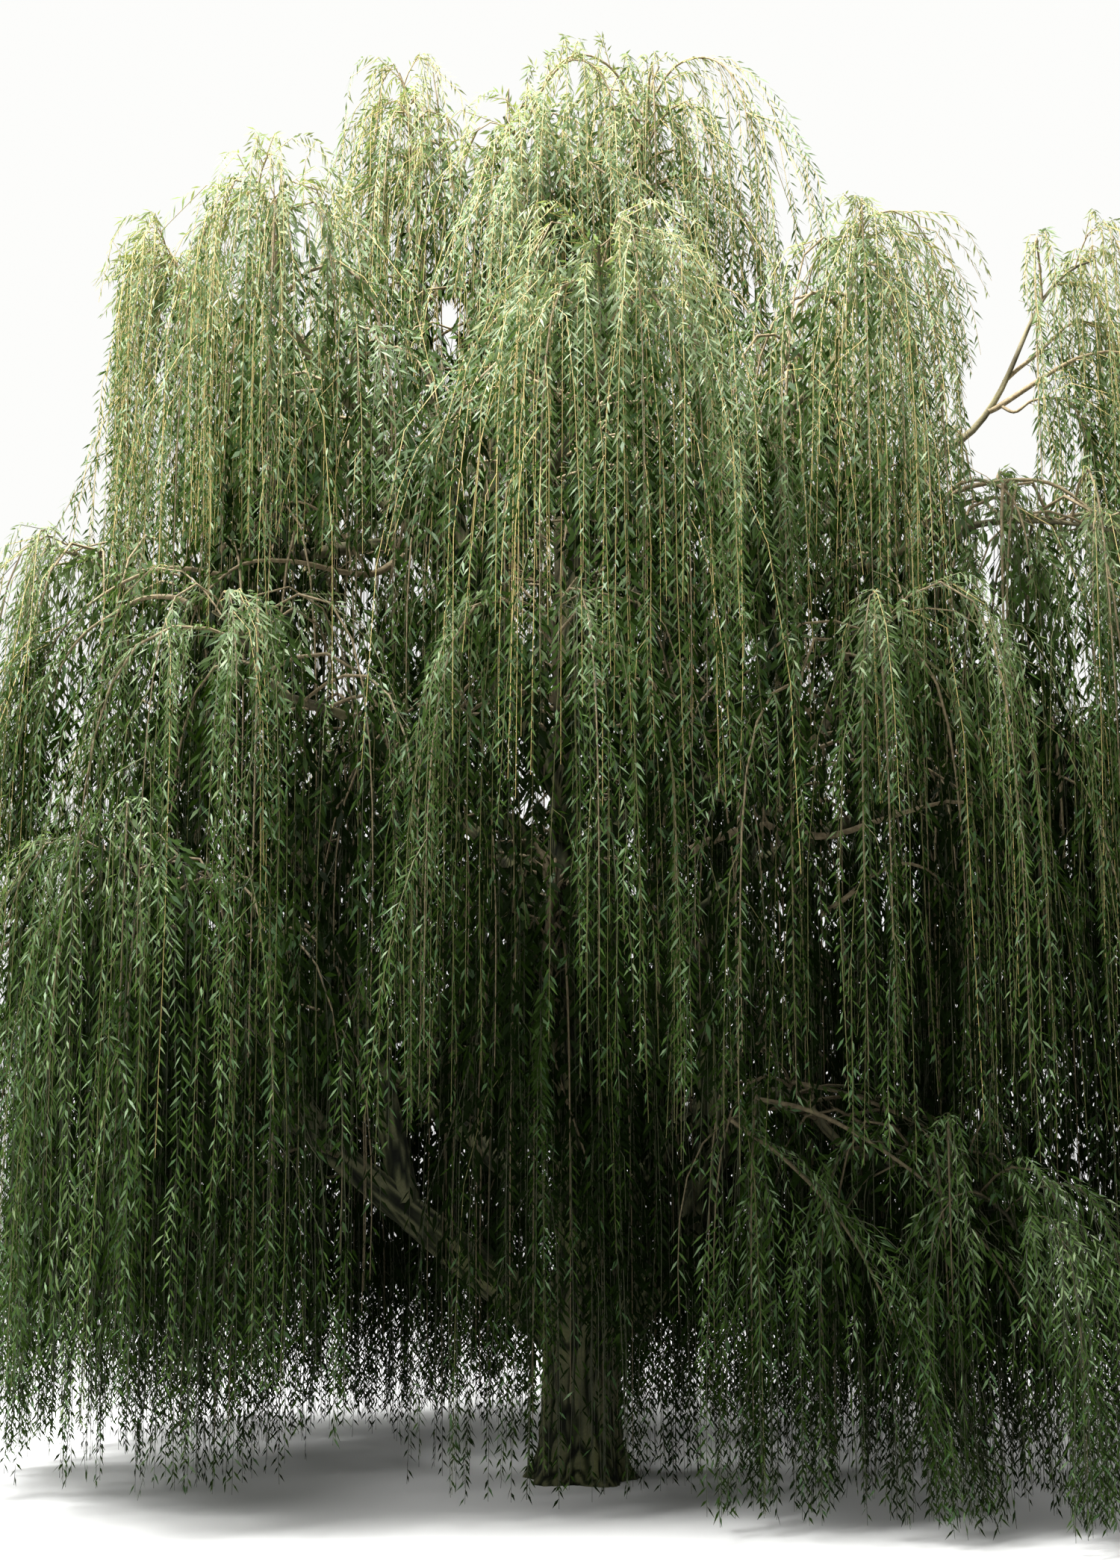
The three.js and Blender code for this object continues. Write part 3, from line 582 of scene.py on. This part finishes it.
def fit_twigs(t, most):
    """Twigs are shortened to where they would stray, meet a limb or reach the ground, and short ones are dropped."""
    steps = np.linspace(0.03, 1, 24)
    along = t["length"][:, None] * steps
    which = np.broadcast_to(np.arange(len(t["mass"]))[:, None], along.shape)
    p = twig_at(t, which, along)
    bad = strays(p, t["mass"][:, None], most) | out_of_reach(p - UP * 0.05)
    bad |= in_places(p, HOLES, rng.uniform(0.75, 1.3, len(along))[:, None])
    bad |= in_ragged(p, EDGES, rng.random(len(along))[:, None])
    bad |= in_limb(p) & (along > 0.12)
    first_bad = np.where(bad.any(axis=1), bad.argmax(axis=1), len(steps))
    share = np.where(first_bad < len(steps), steps[np.maximum(first_bad - 1, 0)], 1.0)
    share[first_bad == 0] = 0
    t["length"] = t["length"] * share
    return select(t, t["length"] > SHORTEST_TWIG)


twigs = {k: np.concatenate([b[k] for b in batches]) for k in batches[0]}
twigs = fit_twigs(finished(twigs), TWIG_STRAY)

# Side shoots leave the longer twigs and hang beside them.
most_shoots = np.where(IS_LOW[twigs["mass"]], 1, 2)
shoots_per = np.clip((twigs["length"] / LENGTH_PER_SHOOT).astype(int), 0, most_shoots)
source = np.repeat(np.arange(len(twigs["mass"])), shoots_per)
count = len(source)
place = rng.uniform(0.12, 0.85, count) * twigs["length"][source]
shoots = fit_twigs(finished(dict(
    mass=twigs["mass"][source],
    source=source,
    root=twig_at(twigs, source, place),
    first=unit(any_heading(count) + DOWN * rng.uniform(0.1, 0.9, count)[:, None]),
    bend=rng.uniform(0.05, 0.14, count),
    length=rng.uniform(0.25, 0.6, count),
)), SHOOT_STRAY)


# -------- leaves
def openness(points, area):
    """How clearly places inside the crown are seen from the sides, and how much sky reaches them, from 0 to 1."""
    low = points.min(axis=0) - AIR_CELL
    shape = np.ceil((points.max(axis=0) + AIR_CELL - low) / AIR_CELL).astype(int)
    cell = ((points - low) / AIR_CELL).astype(int)
    thick = np.zeros(shape)
    np.add.at(thick, tuple(cell.T), area * 0.5 / AIR_CELL**2)
    centres = np.stack(np.meshgrid(*[np.arange(k) for k in shape], indexing="ij"), axis=-1) + 0.5

    def clear(direction):
        passed = np.zeros(shape)
        for step in range(1, 15):
            at = (centres + direction * step).astype(int)
            inside = ((at >= 0) & (at < shape)).all(axis=-1)
            at = np.clip(at, 0, shape - 1)
            passed += np.where(inside, thick[at[..., 0], at[..., 1], at[..., 2]], 0)
        return np.exp(-passed)

    around = heading_vector(np.arange(8) * 45.0)
    sides = np.sort([clear(d) for d in around], axis=0)[-3:].mean(axis=0)
    above = [clear(unit(d + UP * 1.2)) for d in around[::2]] + [clear(UP)] * 2
    sky = np.mean(above, axis=0)
    return sides[tuple(cell.T)], sky[tuple(cell.T)]


def leaves_on_twigs(t):
    """The leaves' roots, the twigs' directions there, their order along a twig, sizes, masses and twigs."""
    count = np.maximum(((t["length"] - BARE_START) / LEAF_SPACING).astype(int), 1)
    which = np.repeat(np.arange(len(count)), count)
    order = np.arange(len(which)) - np.repeat(np.cumsum(count) - count, count)
    along = BARE_START + (order + rng.uniform(-0.3, 0.3, len(which))) * LEAF_SPACING
    along = np.clip(along, 0.01, t["length"][which])
    root = twig_at(t, which, along)
    tangent = unit(twig_at(t, which, along + 0.01) - root)
    size = (1 - 0.35 * (along / t["length"][which]) ** 3) * lerp(0.7, 1.0, smoothstep(along, 0.0, 0.45))
    return root, tangent, order, size, t["mass"][which], which


def leaves_on_arms():
    parts = []
    for number, arm in enumerate(arms):
        bare = 0.45 if arm["radius"] > 0.0135 else 0.2
        count = max(int(arm["path"].length * (1 - bare) / LEAF_SPACING / 1.3), 1)
        share = lerp(bare, 1, (np.arange(count) + 0.5) / count)
        parts.append((arm["path"].at(share), arm["path"].along(share), np.arange(count), np.ones(count),
                      np.full(count, arm["mass"]), np.full(count, number)))
    return [np.concatenate(x) for x in zip(*parts)]


# Twigs, shoots and arms are numbered in one row.
offset = 0
leaf_parts = []
twig_count, shoot_count = len(twigs["mass"]), len(shoots["mass"])
for *parts, which in [leaves_on_twigs(twigs), leaves_on_twigs(shoots), leaves_on_arms()]:
    leaf_parts.append((*parts, which + offset))
    offset += which.max() + 1
leaf_root, leaf_tangent, leaf_order, leaf_size, leaf_mass, leaf_twig = map(np.concatenate, zip(*leaf_parts))
twig_tint = rng.normal(0, 1, offset)

# Twigs and leaves that are hidden from all sides are fewer, and those leaves are larger: with their dark tints they
# close the inside into a mass of painted shade. Near the ground most stay.
seen, sky = openness(leaf_root, LEAF_LENGTH * LEAF_WIDTH / 2)
fill = np.maximum(smoothstep(seen, 0.45, 1.0), 0.6 * (1 - smoothstep(leaf_root[:, 2], 0.9, 1.7)))
twig_fill = np.bincount(leaf_twig, fill, offset) / np.maximum(np.bincount(leaf_twig, minlength=offset), 1)
twig_mass = np.concatenate([twigs["mass"], shoots["mass"], [arm["mass"] for arm in arms]])
least = np.where(IS_LOW[twig_mass], HIDDEN_LOW_TWIG_SHARE, HIDDEN_TWIG_SHARE)
stays = rng.random(offset) < lerp(least, 1.0, smoothstep(twig_fill, 0.1, 0.7))
stays[twig_count:twig_count + shoot_count] &= stays[shoots["source"]]
stays[twig_count + shoot_count:] = True
chosen = stays[leaf_twig] & (rng.random(len(leaf_root)) < lerp(HIDDEN_SHARE, 1.0, fill))
leaf_root, leaf_tangent, leaf_order, leaf_size, leaf_mass, leaf_twig, sky, fill = (
    x[chosen] for x in (leaf_root, leaf_tangent, leaf_order, leaf_size, leaf_mass, leaf_twig, sky, fill))
twigs["open"] = twig_fill[:twig_count]
shoots["open"] = twig_fill[twig_count:twig_count + shoot_count]
twigs = select(twigs, stays[:twig_count])
shoots = select(shoots, stays[twig_count:twig_count + shoot_count])
n = len(leaf_root)

# The leaves of a twig stand in two ranks that face outward from the tree, with some turned out of line.
facing_out = np.degrees(np.arctan2(leaf_root[:, 1], leaf_root[:, 0])) + 90 + rng.normal(0, 38, offset)[leaf_twig]
flat = heading_vector(facing_out) + UP * 0.15
across = unit(flat - leaf_tangent * (flat * leaf_tangent).sum(axis=1, keepdims=True))
other = np.cross(leaf_tangent, across)
turn = math.pi * (leaf_order % 2) + rng.normal(0, 0.55, n)
radial = across * np.cos(turn)[:, None] + other * np.sin(turn)[:, None]
open_angle = np.radians(rng.uniform(30, 56, n))
sag = 0.12 + 0.5 * (1 - np.abs(leaf_tangent[:, 2:]))
leaf_way = unit(leaf_tangent * np.cos(open_angle)[:, None] + radial * np.sin(open_angle)[:, None] + DOWN * sag)
roll = other * 0.8 + unit(rng.normal(0, 1, (n, 3))) * 0.6 + UP * 0.2
leaf_side = unit(np.cross(leaf_way, roll))
depth = (1 - fill) * lerp(1.0, 0.7, smoothstep(leaf_root[:, 2], 6.0, 8.5)) * smoothstep(leaf_root[:, 2], 0.4, 1.6)
leaf_length = LEAF_LENGTH * leaf_size * lerp(1, HIDDEN_LENGTH, depth) * rng.uniform(0.75, 1.15, n)
leaf_width = LEAF_WIDTH * lerp(1.0, HIDDEN_WIDTH, depth) * rng.uniform(0.8, 1.2, n)
leaf_tip = leaf_root + leaf_way * leaf_length[:, None]

keep = ~in_limb(leaf_tip) & (leaf_tip[:, 2] > GROUND_CLEARANCE * 0.5)
keep &= ~in_ragged(leaf_root, OPENINGS, rng.random(n)) & ~in_places(leaf_tip, HOLES, 0.8)

# How lit a leaf looks, which picks its colour: by its height, the sky above it, how open its place is, how near the
# top of its mass it is, the light that comes in low from the left, its twig, and chance.
stem_tops = np.array([m["path"].at(1.0)[2] for m in masses])
light = (
    0.58 * smoothstep(leaf_root[:, 2], 1.5, 9.6)
    + 0.44 * np.sqrt(sky)
    + 0.26 * fill
    + 0.27 * smoothstep(leaf_root[:, 2] - stem_tops[leaf_mass], -1.1, 0.1)
    + (0.08 + 0.18 * smoothstep(-leaf_root[:, 0], 0.5, 3.0)) * (1 - smoothstep(leaf_root[:, 2], 2.0, 5.0))
    - 0.43
    + 0.09 * twig_tint[leaf_twig]
    + 0.07 * rng.normal(0, 1, n)
)
# The name, the slot, the base colour, and the light up to which a leaf takes it. They are lit and shaded copies of
# one leaf colour: painted light and shade.
TINTS = [
    ("shade", "foliage_low", (0.0050, 0.0115, 0.0013), 0.12),
    ("deep", "foliage_low", (0.0150, 0.0325, 0.0036), 0.32),
    ("middle", "foliage_middle", (0.044, 0.084, 0.0165), 0.58),
    ("fresh", "foliage_top", (0.108, 0.160, 0.060), 0.95),
    ("crest", "foliage_top", (0.195, 0.226, 0.086), None),
]
tint = np.searchsorted([most for *_, most in TINTS[:-1]], light)
# Some leaves turn their silvery underside out, fewer of them inside the crown.
silver = rng.random(n) < lerp(0.24, 0.05, depth)

all_masses = [f"foliage_{m['name']}" for m in masses]
THROUGH_SHARE = 0.3  # of the light that falls on a leaf and shines through


def new_object(name, data):
    made = bpy.data.objects.new(name, data)
    bpy.context.scene.collection.objects.link(made)
    return made


def mesh_piece(name, vertices, faces, material, nodes, smooth=False):
    """A piece of many small faces, all with the same number of corners, that stands for the CAD nodes named."""
    mesh = bpy.data.meshes.new(name)
    corners = faces.shape[1]
    mesh.vertices.add(len(vertices))
    mesh.vertices.foreach_set("co", np.ascontiguousarray(vertices, np.float32).ravel())
    mesh.loops.add(faces.size)
    mesh.loops.foreach_set("vertex_index", np.ascontiguousarray(faces, np.int32).ravel())
    mesh.polygons.add(len(faces))
    mesh.polygons.foreach_set("loop_start", np.arange(0, faces.size, corners, dtype=np.int32))
    mesh.polygons.foreach_set("use_smooth", np.full(len(faces), smooth))
    mesh.update(calc_edges=True)
    mesh.materials.append(material)
    piece = new_object(name, mesh)
    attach(piece, "root")
    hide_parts(*nodes)
    return piece


def set_inputs(node, **values):
    """Sets a node's sockets, whose names are given with _ for each space."""
    for socket, value in values.items():
        node.inputs[socket.replace("_", " ")].default_value = value


def plain_material(name, colour, roughness, **sockets):
    material = bpy.data.materials.new(name)
    material.use_nodes = True
    shader = material.node_tree.nodes["Principled BSDF"]
    set_inputs(shader, Base_Color=(*colour, 1), Roughness=roughness, **sockets)
    return material


def leaf_pieces(name, colour, which):
    """Leaves of one colour, two triangles each that fold at the middle, in as many pieces as their number needs."""
    # The lighter a leaf's painted colour, the more sheen it gets: painted sheen on lit leaves, little on those in
    # painted shade.
    sheen_by_light = 0.04 + 0.24 * float(smoothstep(colour[1], 0.01, 0.2))
    material = plain_material("leaf_" + name, colour, 0.55, Specular_IOR_Level=sheen_by_light)
    tree = material.node_tree
    shader = tree.nodes["Principled BSDF"]
    through = tree.nodes.new("ShaderNodeBsdfTranslucent")
    set_inputs(through, Color=(colour[0] * 1.2, colour[1] * 1.25, colour[2] * 0.7, 1))
    mix = tree.nodes.new("ShaderNodeMixShader")
    mix.inputs[0].default_value = THROUGH_SHARE
    tree.links.new(shader.outputs[0], mix.inputs[1])
    tree.links.new(through.outputs[0], mix.inputs[2])
    tree.links.new(mix.outputs[0], tree.nodes["Material Output"].inputs[0])
    pieces = max(1, math.ceil(len(which) * 2 / MOST_TRIANGLES))
    for part, w in enumerate(np.array_split(which, pieces)):
        length, width = leaf_length[w][:, None], leaf_width[w][:, None]
        middle = leaf_root[w] + leaf_way[w] * length * 0.4
        corners = np.stack([
            leaf_root[w],
            middle + leaf_side[w] * width / 2,
            leaf_tip[w] + DOWN * length * 0.08,
            middle - leaf_side[w] * width / 2,
        ], axis=1)
        first = np.arange(len(w))[:, None] * 4
        faces = np.concatenate([first + [0, 1, 3], first + [1, 2, 3]])
        mesh_piece(f"leaves_{name}_{part + 1}", corners.reshape(-1, 3), faces, material, all_masses)


for k, (name, slot, colour, _) in enumerate(TINTS):
    leaf_pieces(name, colour, np.flatnonzero(keep & (tint == k) & ~(silver & (k >= 1))))
# The silvery undersides' own pale colour, in shaded, half-lit and lit copies: painted light and shade, picked by the
# same light as the other leaves.
for name, slot, colour, which in (
    ("silver_low", "foliage_low", (0.046, 0.092, 0.034), tint == 1),
    ("silver_middle", "foliage_middle", (0.115, 0.180, 0.085), tint == 2),
    ("silver_top", "foliage_top", (0.210, 0.272, 0.145), tint >= 3),
):
    leaf_pieces(name, colour, np.flatnonzero(keep & silver & which))


# -------- wood
FURROW_WIDTH = 0.037
FURROW_LENGTH = 0.21
FURROW_DEPTH = 0.09  # as a share of the limb's radius, within the next two
LEAST_FURROW, MOST_FURROW = 0.0006, 0.023
TRUNK_SIDES = 168
TRUNK_RINGS = 190
BOUGH_SIDE = 0.021
FEWEST_SIDES, MOST_SIDES = 14, 44
BOUGH_RING_STEP = 0.075
STEM_RING_STEP = 0.12


def noise(p):
    """Smooth noise from 0 to 1 at points (..., 3), from a hashed lattice."""
    cell = np.floor(p).astype(np.int64)
    f = p - cell
    f = f * f * (3 - 2 * f)
    total = 0.0
    for corner in range(8):
        step = np.array([corner & 1, corner >> 1 & 1, corner >> 2 & 1])
        c = cell + step
        h = (c[..., 0] * 73856093) ^ (c[..., 1] * 19349663) ^ (c[..., 2] * 83492791)
        h = (h ^ (h >> 13)) * 1274126177 & 0x7FFFFFFF
        weight = np.where(step, f, 1 - f).prod(axis=-1)
        total = total + weight * (h / 0x7FFFFFFF)
    return total


def furrows(around, along, radius):
    """Bark relief from 0 in the furrows to 1 on the ridges, at turns around and lengths along a limb."""
    ring = radius / FURROW_WIDTH
    q = np.stack(np.broadcast_arrays(np.cos(around) * ring, np.sin(around) * ring, along / FURROW_LENGTH), axis=-1)
    warp = noise(q * 0.7 + 31.0)[..., None] * np.array([0.9, 0.9, 0.35])
    crack = np.abs(2 * noise(q + warp) - 1)
    fine = 1 - np.abs(2 * noise(q * np.array([2.3, 2.3, 1.7]) + warp * 2 + 7.0) - 1)
    return np.clip(0.8 * smoothstep(crack, 0.0, 0.42) + 0.2 * fine, 0, 1)


def tubes(points, radii, sides, ref):
    """Tapering tubes: points (n, rings, 3), radii (n, rings, 1 or sides), ref (n, 3) a direction across each."""
    n, rings, _ = points.shape
    tangent = unit(np.gradient(points, axis=1))
    flat = unit(np.cross(tangent, ref[:, None, :]))
    side = np.cross(flat, tangent)
    turn = np.arange(sides) * 2 * math.pi / sides
    vertices = (points[:, :, None] + radii[..., None]
                * (side[:, :, None] * np.cos(turn)[:, None] + flat[:, :, None] * np.sin(turn)[:, None]))
    grid = np.arange(n * rings * sides).reshape(n, rings, sides)
    a, b = grid[:, :-1], grid[:, 1:]
    faces = np.stack([a, np.roll(a, -1, 2), np.roll(b, -1, 2), b], axis=-1).reshape(-1, 4)
    return vertices.reshape(-1, 3), faces


def twig_tubes(t, rings, thick):
    """Three-sided tubes for twigs, with more rings near the root, where they bend."""
    n = len(t["mass"])
    share = np.linspace(0, 1, rings) ** 1.6
    along = t["length"][:, None] * share
    which = np.broadcast_to(np.arange(n)[:, None], along.shape)
    radii = (lerp(thick, TWIG_TIP_RADIUS, share)[None, :] * np.ones((n, 1)))[..., None]
    ref = np.stack([-t["first"][:, 1], t["first"][:, 0], np.zeros(n)], axis=-1)
    return tubes(twig_at(t, which, along), radii, 3, unit(ref + 1e-4))


# The name, the height up to which twigs take it, and the material. The twigs' own olive to golden colour is darker
# lower down and on hidden twigs, which is painted shade. A hidden twig counts as this much lower.
HIDDEN_TWIG_SHADE_DROP = 3.2
TWIG_TINTS = [
    ("low", 3.6, plain_material("twig_olive_shaded", (0.022, 0.026, 0.005), 0.6)),
    ("middle", 6.2, plain_material("twig_ochre_half_shaded", (0.085, 0.084, 0.022), 0.6)),
    ("high", 99.0, plain_material("twig_gold_lit", (0.400, 0.310, 0.110), 0.6)),
]
for name, t, rings, thick in (("twigs", twigs, 5, TWIG_RADIUS), ("shoots", shoots, 3, SHOOT_RADIUS)):
    lit = t["root"][:, 2] - HIDDEN_TWIG_SHADE_DROP * (1 - t["open"]) + rng.normal(0, 0.8, len(t["mass"]))
    tint = np.searchsorted([most for _, most, _ in TWIG_TINTS], lit)
    for k, (tint_name, _, material) in enumerate(TWIG_TINTS):
        vertices, faces = twig_tubes(select(t, tint == k), rings, thick)
        mesh_piece(f"{name}_{tint_name}", vertices, faces, material, all_masses, True)


def arm_tubes(some, rings, sides, power):
    """Tubes for some of the arms. power: how they taper."""
    share = np.linspace(0, 1, rings) ** 1.5
    points = np.stack([arm["path"].at(share) for arm in some])
    radii = np.array([lerp(arm["radius"], ARM_TIP_RADIUS, share**power) for arm in some])[..., None]
    return tubes(points, radii, sides, heading_vector(np.array([arm["heading"] for arm in some]) + 90))


thin_vertices, thin_faces = arm_tubes(arms[:-len(FORKS)], 12, 4, 0.6)
fork_vertices, fork_faces = arm_tubes(arms[-len(FORKS):], 28, 8, 1.0)
arm_vertices = np.vstack([thin_vertices, fork_vertices])
arm_faces = np.vstack([thin_faces, fork_faces + len(thin_vertices)])

# The trunk and the boughs, with furrows in their shape. A limb's tip is rounded over, or goes on as the mass's stem.
wood_vertices, wood_faces, wood_relief, wood_thick = [], [], [], []


def add_wood(middle, radii, sides, ref, along):
    """A limb: middle points (rings, 3), radii (rings, sides), along the length up to each ring."""
    turn = np.arange(sides) * 2 * math.pi / sides
    thick = radii.mean(axis=1)
    relief = furrows(turn[None, :], along[:, None], thick[:, None])
    depth = np.clip(thick * FURROW_DEPTH, LEAST_FURROW, MOST_FURROW)[:, None]
    v, f = tubes(middle[None], (radii + (relief - 0.75) * depth)[None], sides, np.array([ref]))
    wood_faces.append(f + sum(map(len, wood_vertices)))
    wood_vertices.append(v)
    wood_relief.append(relief.ravel())
    wood_thick.append(np.repeat(thick, sides))


def rounded_tip(middle, radii, along):
    """The last ring carried on over a dome, so that a limb has no open end."""
    onward = unit(middle[-1] - middle[-2])
    t = np.linspace(0, 1, 7)[1:, None]
    r = radii[-1].mean()
    cap = middle[-1] + onward * r * 0.8 * t
    shrink = np.sqrt(np.maximum(1 - t**2, 1e-4))
    radii = np.vstack([radii, radii[-1] * shrink])
    return np.vstack([middle, cap]), radii, np.concatenate([along, along[-1] + r * t[:, 0]])


turn = np.arange(TRUNK_SIDES) * 2 * math.pi / TRUNK_SIDES
heights = TRUNK_HEIGHT * np.linspace(0, 1, TRUNK_RINGS) ** 1.25
middle, radii, along = rounded_tip(trunk_middle(heights), trunk_radius(heights[:, None], turn[None, :]), heights)
add_wood(middle, radii, TRUNK_SIDES, (0.0, 1.0, 0.0), along)
for name, limb in list(limbs.items())[1:]:
    length = limb["path"].length
    share = np.linspace(0, 1, int(length / BOUGH_RING_STEP))
    middle, radii, along = limb["path"].at(share), bough_radius(limb, share), share * length
    if limb["foliage"] is not None:
        stem = stem_path(limb)
        rest = np.linspace(0, 1, int(stem.length / STEM_RING_STEP))[1:]
        middle = np.vstack([middle, stem.at(rest)])
        radii = np.concatenate([radii, lerp(limb["tip"] * END_SLIMMING, STEM_TIP_RADIUS, rest**STEM_TAPER)])
        along = np.concatenate([along, length + rest * stem.length])
    sides = int(np.clip(2 * math.pi * limb["root"] / BOUGH_SIDE, FEWEST_SIDES, MOST_SIDES))
    radii = np.repeat(radii[:, None], sides, axis=1)
    middle, radii, along = rounded_tip(middle, radii, along + 3.7 * len(name))  # its furrows differ from the next
    heading = math.radians(limb["heading"] + 90)
    add_wood(middle, radii, sides, (math.cos(heading), math.sin(heading), 0.02), along)


# The helpers below work on the node tree that the global name tree stands for.
def node_material(name, roughness):
    material = plain_material(name, (0.1, 0.1, 0.1), roughness, Specular_IOR_Level=0.2)
    return material, material.node_tree, material.node_tree.nodes["Principled BSDF"]


def link(output, socket):
    tree.links.new(output, socket)


def node(kind, **settings):
    made = tree.nodes.new(kind)
    for key, value in settings.items():
        setattr(made, key, value)
    return made


def ramp(source, *stops):
    made = node("ShaderNodeValToRGB")
    for k, (place, colour) in enumerate(stops):
        stop = made.color_ramp.elements[k] if k < 2 else made.color_ramp.elements.new(place)
        stop.position, stop.color = place, (*colour, 1)
    link(source, made.inputs[0])
    return made.outputs[0]


def mixed(factor, a, b, blend="MIX"):
    made = node("ShaderNodeMix", data_type="RGBA", blend_type=blend)
    if isinstance(factor, float):
        made.inputs["Factor"].default_value = factor
    else:
        link(factor, made.inputs["Factor"])
    link(a, made.inputs["A"])
    link(b, made.inputs["B"])
    return made.outputs["Result"]


def noise_node(scale, detail):
    made = node("ShaderNodeTexNoise")
    set_inputs(made, Scale=scale, Detail=detail)
    link(place, made.inputs["Vector"])
    return made.outputs["Fac"]


def z_share(vector, low, high, least=0.0):
    """Where a vector's Z is between low and high, from least to 1."""
    split, share = node("ShaderNodeSeparateXYZ"), node("ShaderNodeMapRange")
    link(vector, split.inputs[0])
    set_inputs(share, From_Min=low, From_Max=high, To_Min=least)
    link(split.outputs["Z"], share.inputs["Value"])
    return share.outputs["Result"]


def shade_by_height():
    """A grey that is darker low down in the crown: painted shade of the foliage above."""
    return ramp(z_share(place, 2.0, 8.0), (0.0, (0.30, 0.32, 0.30)), (1.0, (1.0, 1.0, 1.0)))


young, tree, shader = node_material("bark_young", 0.7)
place = node("ShaderNodeTexCoord").outputs["Object"]
tan = ramp(noise_node(35, 3), (0.35, (0.18, 0.135, 0.075)), (0.7, (0.34, 0.27, 0.16)))
# The arms' tan is darkened low down by painted shade.
link(mixed(1.0, tan, shade_by_height(), "MULTIPLY"), shader.inputs["Base Color"])
mesh_piece("arms", arm_vertices, arm_faces, young, all_masses, True)

bark, tree, shader = node_material("bark_old", 0.9)
relief = node("ShaderNodeAttribute", attribute_name="relief")
thick = node("ShaderNodeAttribute", attribute_name="thick")
place = node("ShaderNodeTexCoord").outputs["Object"]
patches = noise_node(2.2, 5)
grain = noise_node(60, 4)
# Both the old and the pale bark darken in their furrows, nearly to black at the bottom: painted shade in the
# recesses. The pale bark is also darkened low down by painted shade.
old = ramp(relief.outputs["Fac"], (0.15, (0.005, 0.006, 0.003)), (0.95, (0.125, 0.122, 0.068)),
           (0.6, (0.042, 0.046, 0.023)))
pale = ramp(relief.outputs["Fac"], (0.2, (0.085, 0.070, 0.045)), (0.9, (0.25, 0.21, 0.14)))
pale = mixed(1.0, pale, shade_by_height(), "MULTIPLY")
age = ramp(thick.outputs["Fac"], (0.028, (0, 0, 0)), (0.085, (1, 1, 1)))
base = mixed(age, pale, old)
moss = ramp(patches, (0.45, (0.75, 0.78, 0.72)), (0.62, (1.05, 1.12, 0.86)))
base = mixed(1.0, base, moss, "MULTIPLY")
speckle = ramp(grain, (0.3, (0.6, 0.6, 0.6)), (0.7, (1.3, 1.3, 1.3)))
link(mixed(0.5, base, speckle, "MULTIPLY"), shader.inputs["Base Color"])
bump = node("ShaderNodeBump")
set_inputs(bump, Strength=0.35, Distance=0.004)
link(grain, bump.inputs["Height"])
link(bump.outputs["Normal"], shader.inputs["Normal"])

wood_nodes = ["trunk"] + [f"bough_{n}" for n in limbs if n != "trunk"]
wood = mesh_piece("bark", np.concatenate(wood_vertices), np.concatenate(wood_faces), bark, wood_nodes, True)
for name, values in (("relief", wood_relief), ("thick", wood_thick)):
    attribute = wood.data.attributes.new(name, "FLOAT", "POINT")
    attribute.data.foreach_set("value", np.concatenate(values).astype(np.float32))

# -------- floor, light and camera
FLOOR_RADIUS = 90
FLOOR_SIDES = 96
floor_mesh = bpy.data.meshes.new("floor")
turns = np.linspace(0, 2 * math.pi, FLOOR_SIDES + 1)[:-1]
rim = [(FLOOR_RADIUS * math.cos(t), FLOOR_RADIUS * math.sin(t), 0) for t in turns]
floor_mesh.from_pydata(rim, [], [tuple(range(FLOOR_SIDES))])
floor_mesh.materials.append(plain_material("floor", (0.72, 0.72, 0.71), 0.9))
new_object("floor", floor_mesh)

# The world is a pale studio: what is seen behind the tree is white, and the light it gives is soft and from above.
world = bpy.data.worlds.new("studio")
bpy.context.scene.world = world
world.use_nodes = True
tree = world.node_tree
back = tree.nodes["Background"]
set_inputs(back, Color=(1.0, 1.0, 0.985, 1))
strength = node("ShaderNodeMix", data_type="FLOAT")
set_inputs(strength, B=0.98)
link(node("ShaderNodeLightPath").outputs["Is Camera Ray"], strength.inputs["Factor"])
above = z_share(node("ShaderNodeTexCoord").outputs["Generated"], 0.0, 0.9, 0.28)
link(above, strength.inputs["A"])
link(strength.outputs["Result"], back.inputs["Strength"])

LAMP_PLACE, LAMP_TARGET = Vector((-7, -5, 22)), Vector((0, 0, 5))
lamp = bpy.data.lights.new("overhead", "AREA")
lamp.energy, lamp.size = 19000, 10
lamp_object = new_object("overhead", lamp)
lamp_object.location = LAMP_PLACE
lamp_object.rotation_euler = (LAMP_PLACE - LAMP_TARGET).to_track_quat("Z", "Y").to_euler()

camera = bpy.data.cameras.new("camera")
camera.lens = LENS
camera.sensor_width = SENSOR
camera_object = new_object("camera", camera)
camera_object.location = CAMERA_PLACE
camera_object.rotation_euler = (math.pi / 2 + CAMERA_TILT, 0, 0)
bpy.context.scene.camera = camera_object
bpy.context.scene.view_settings.view_transform = "Standard"
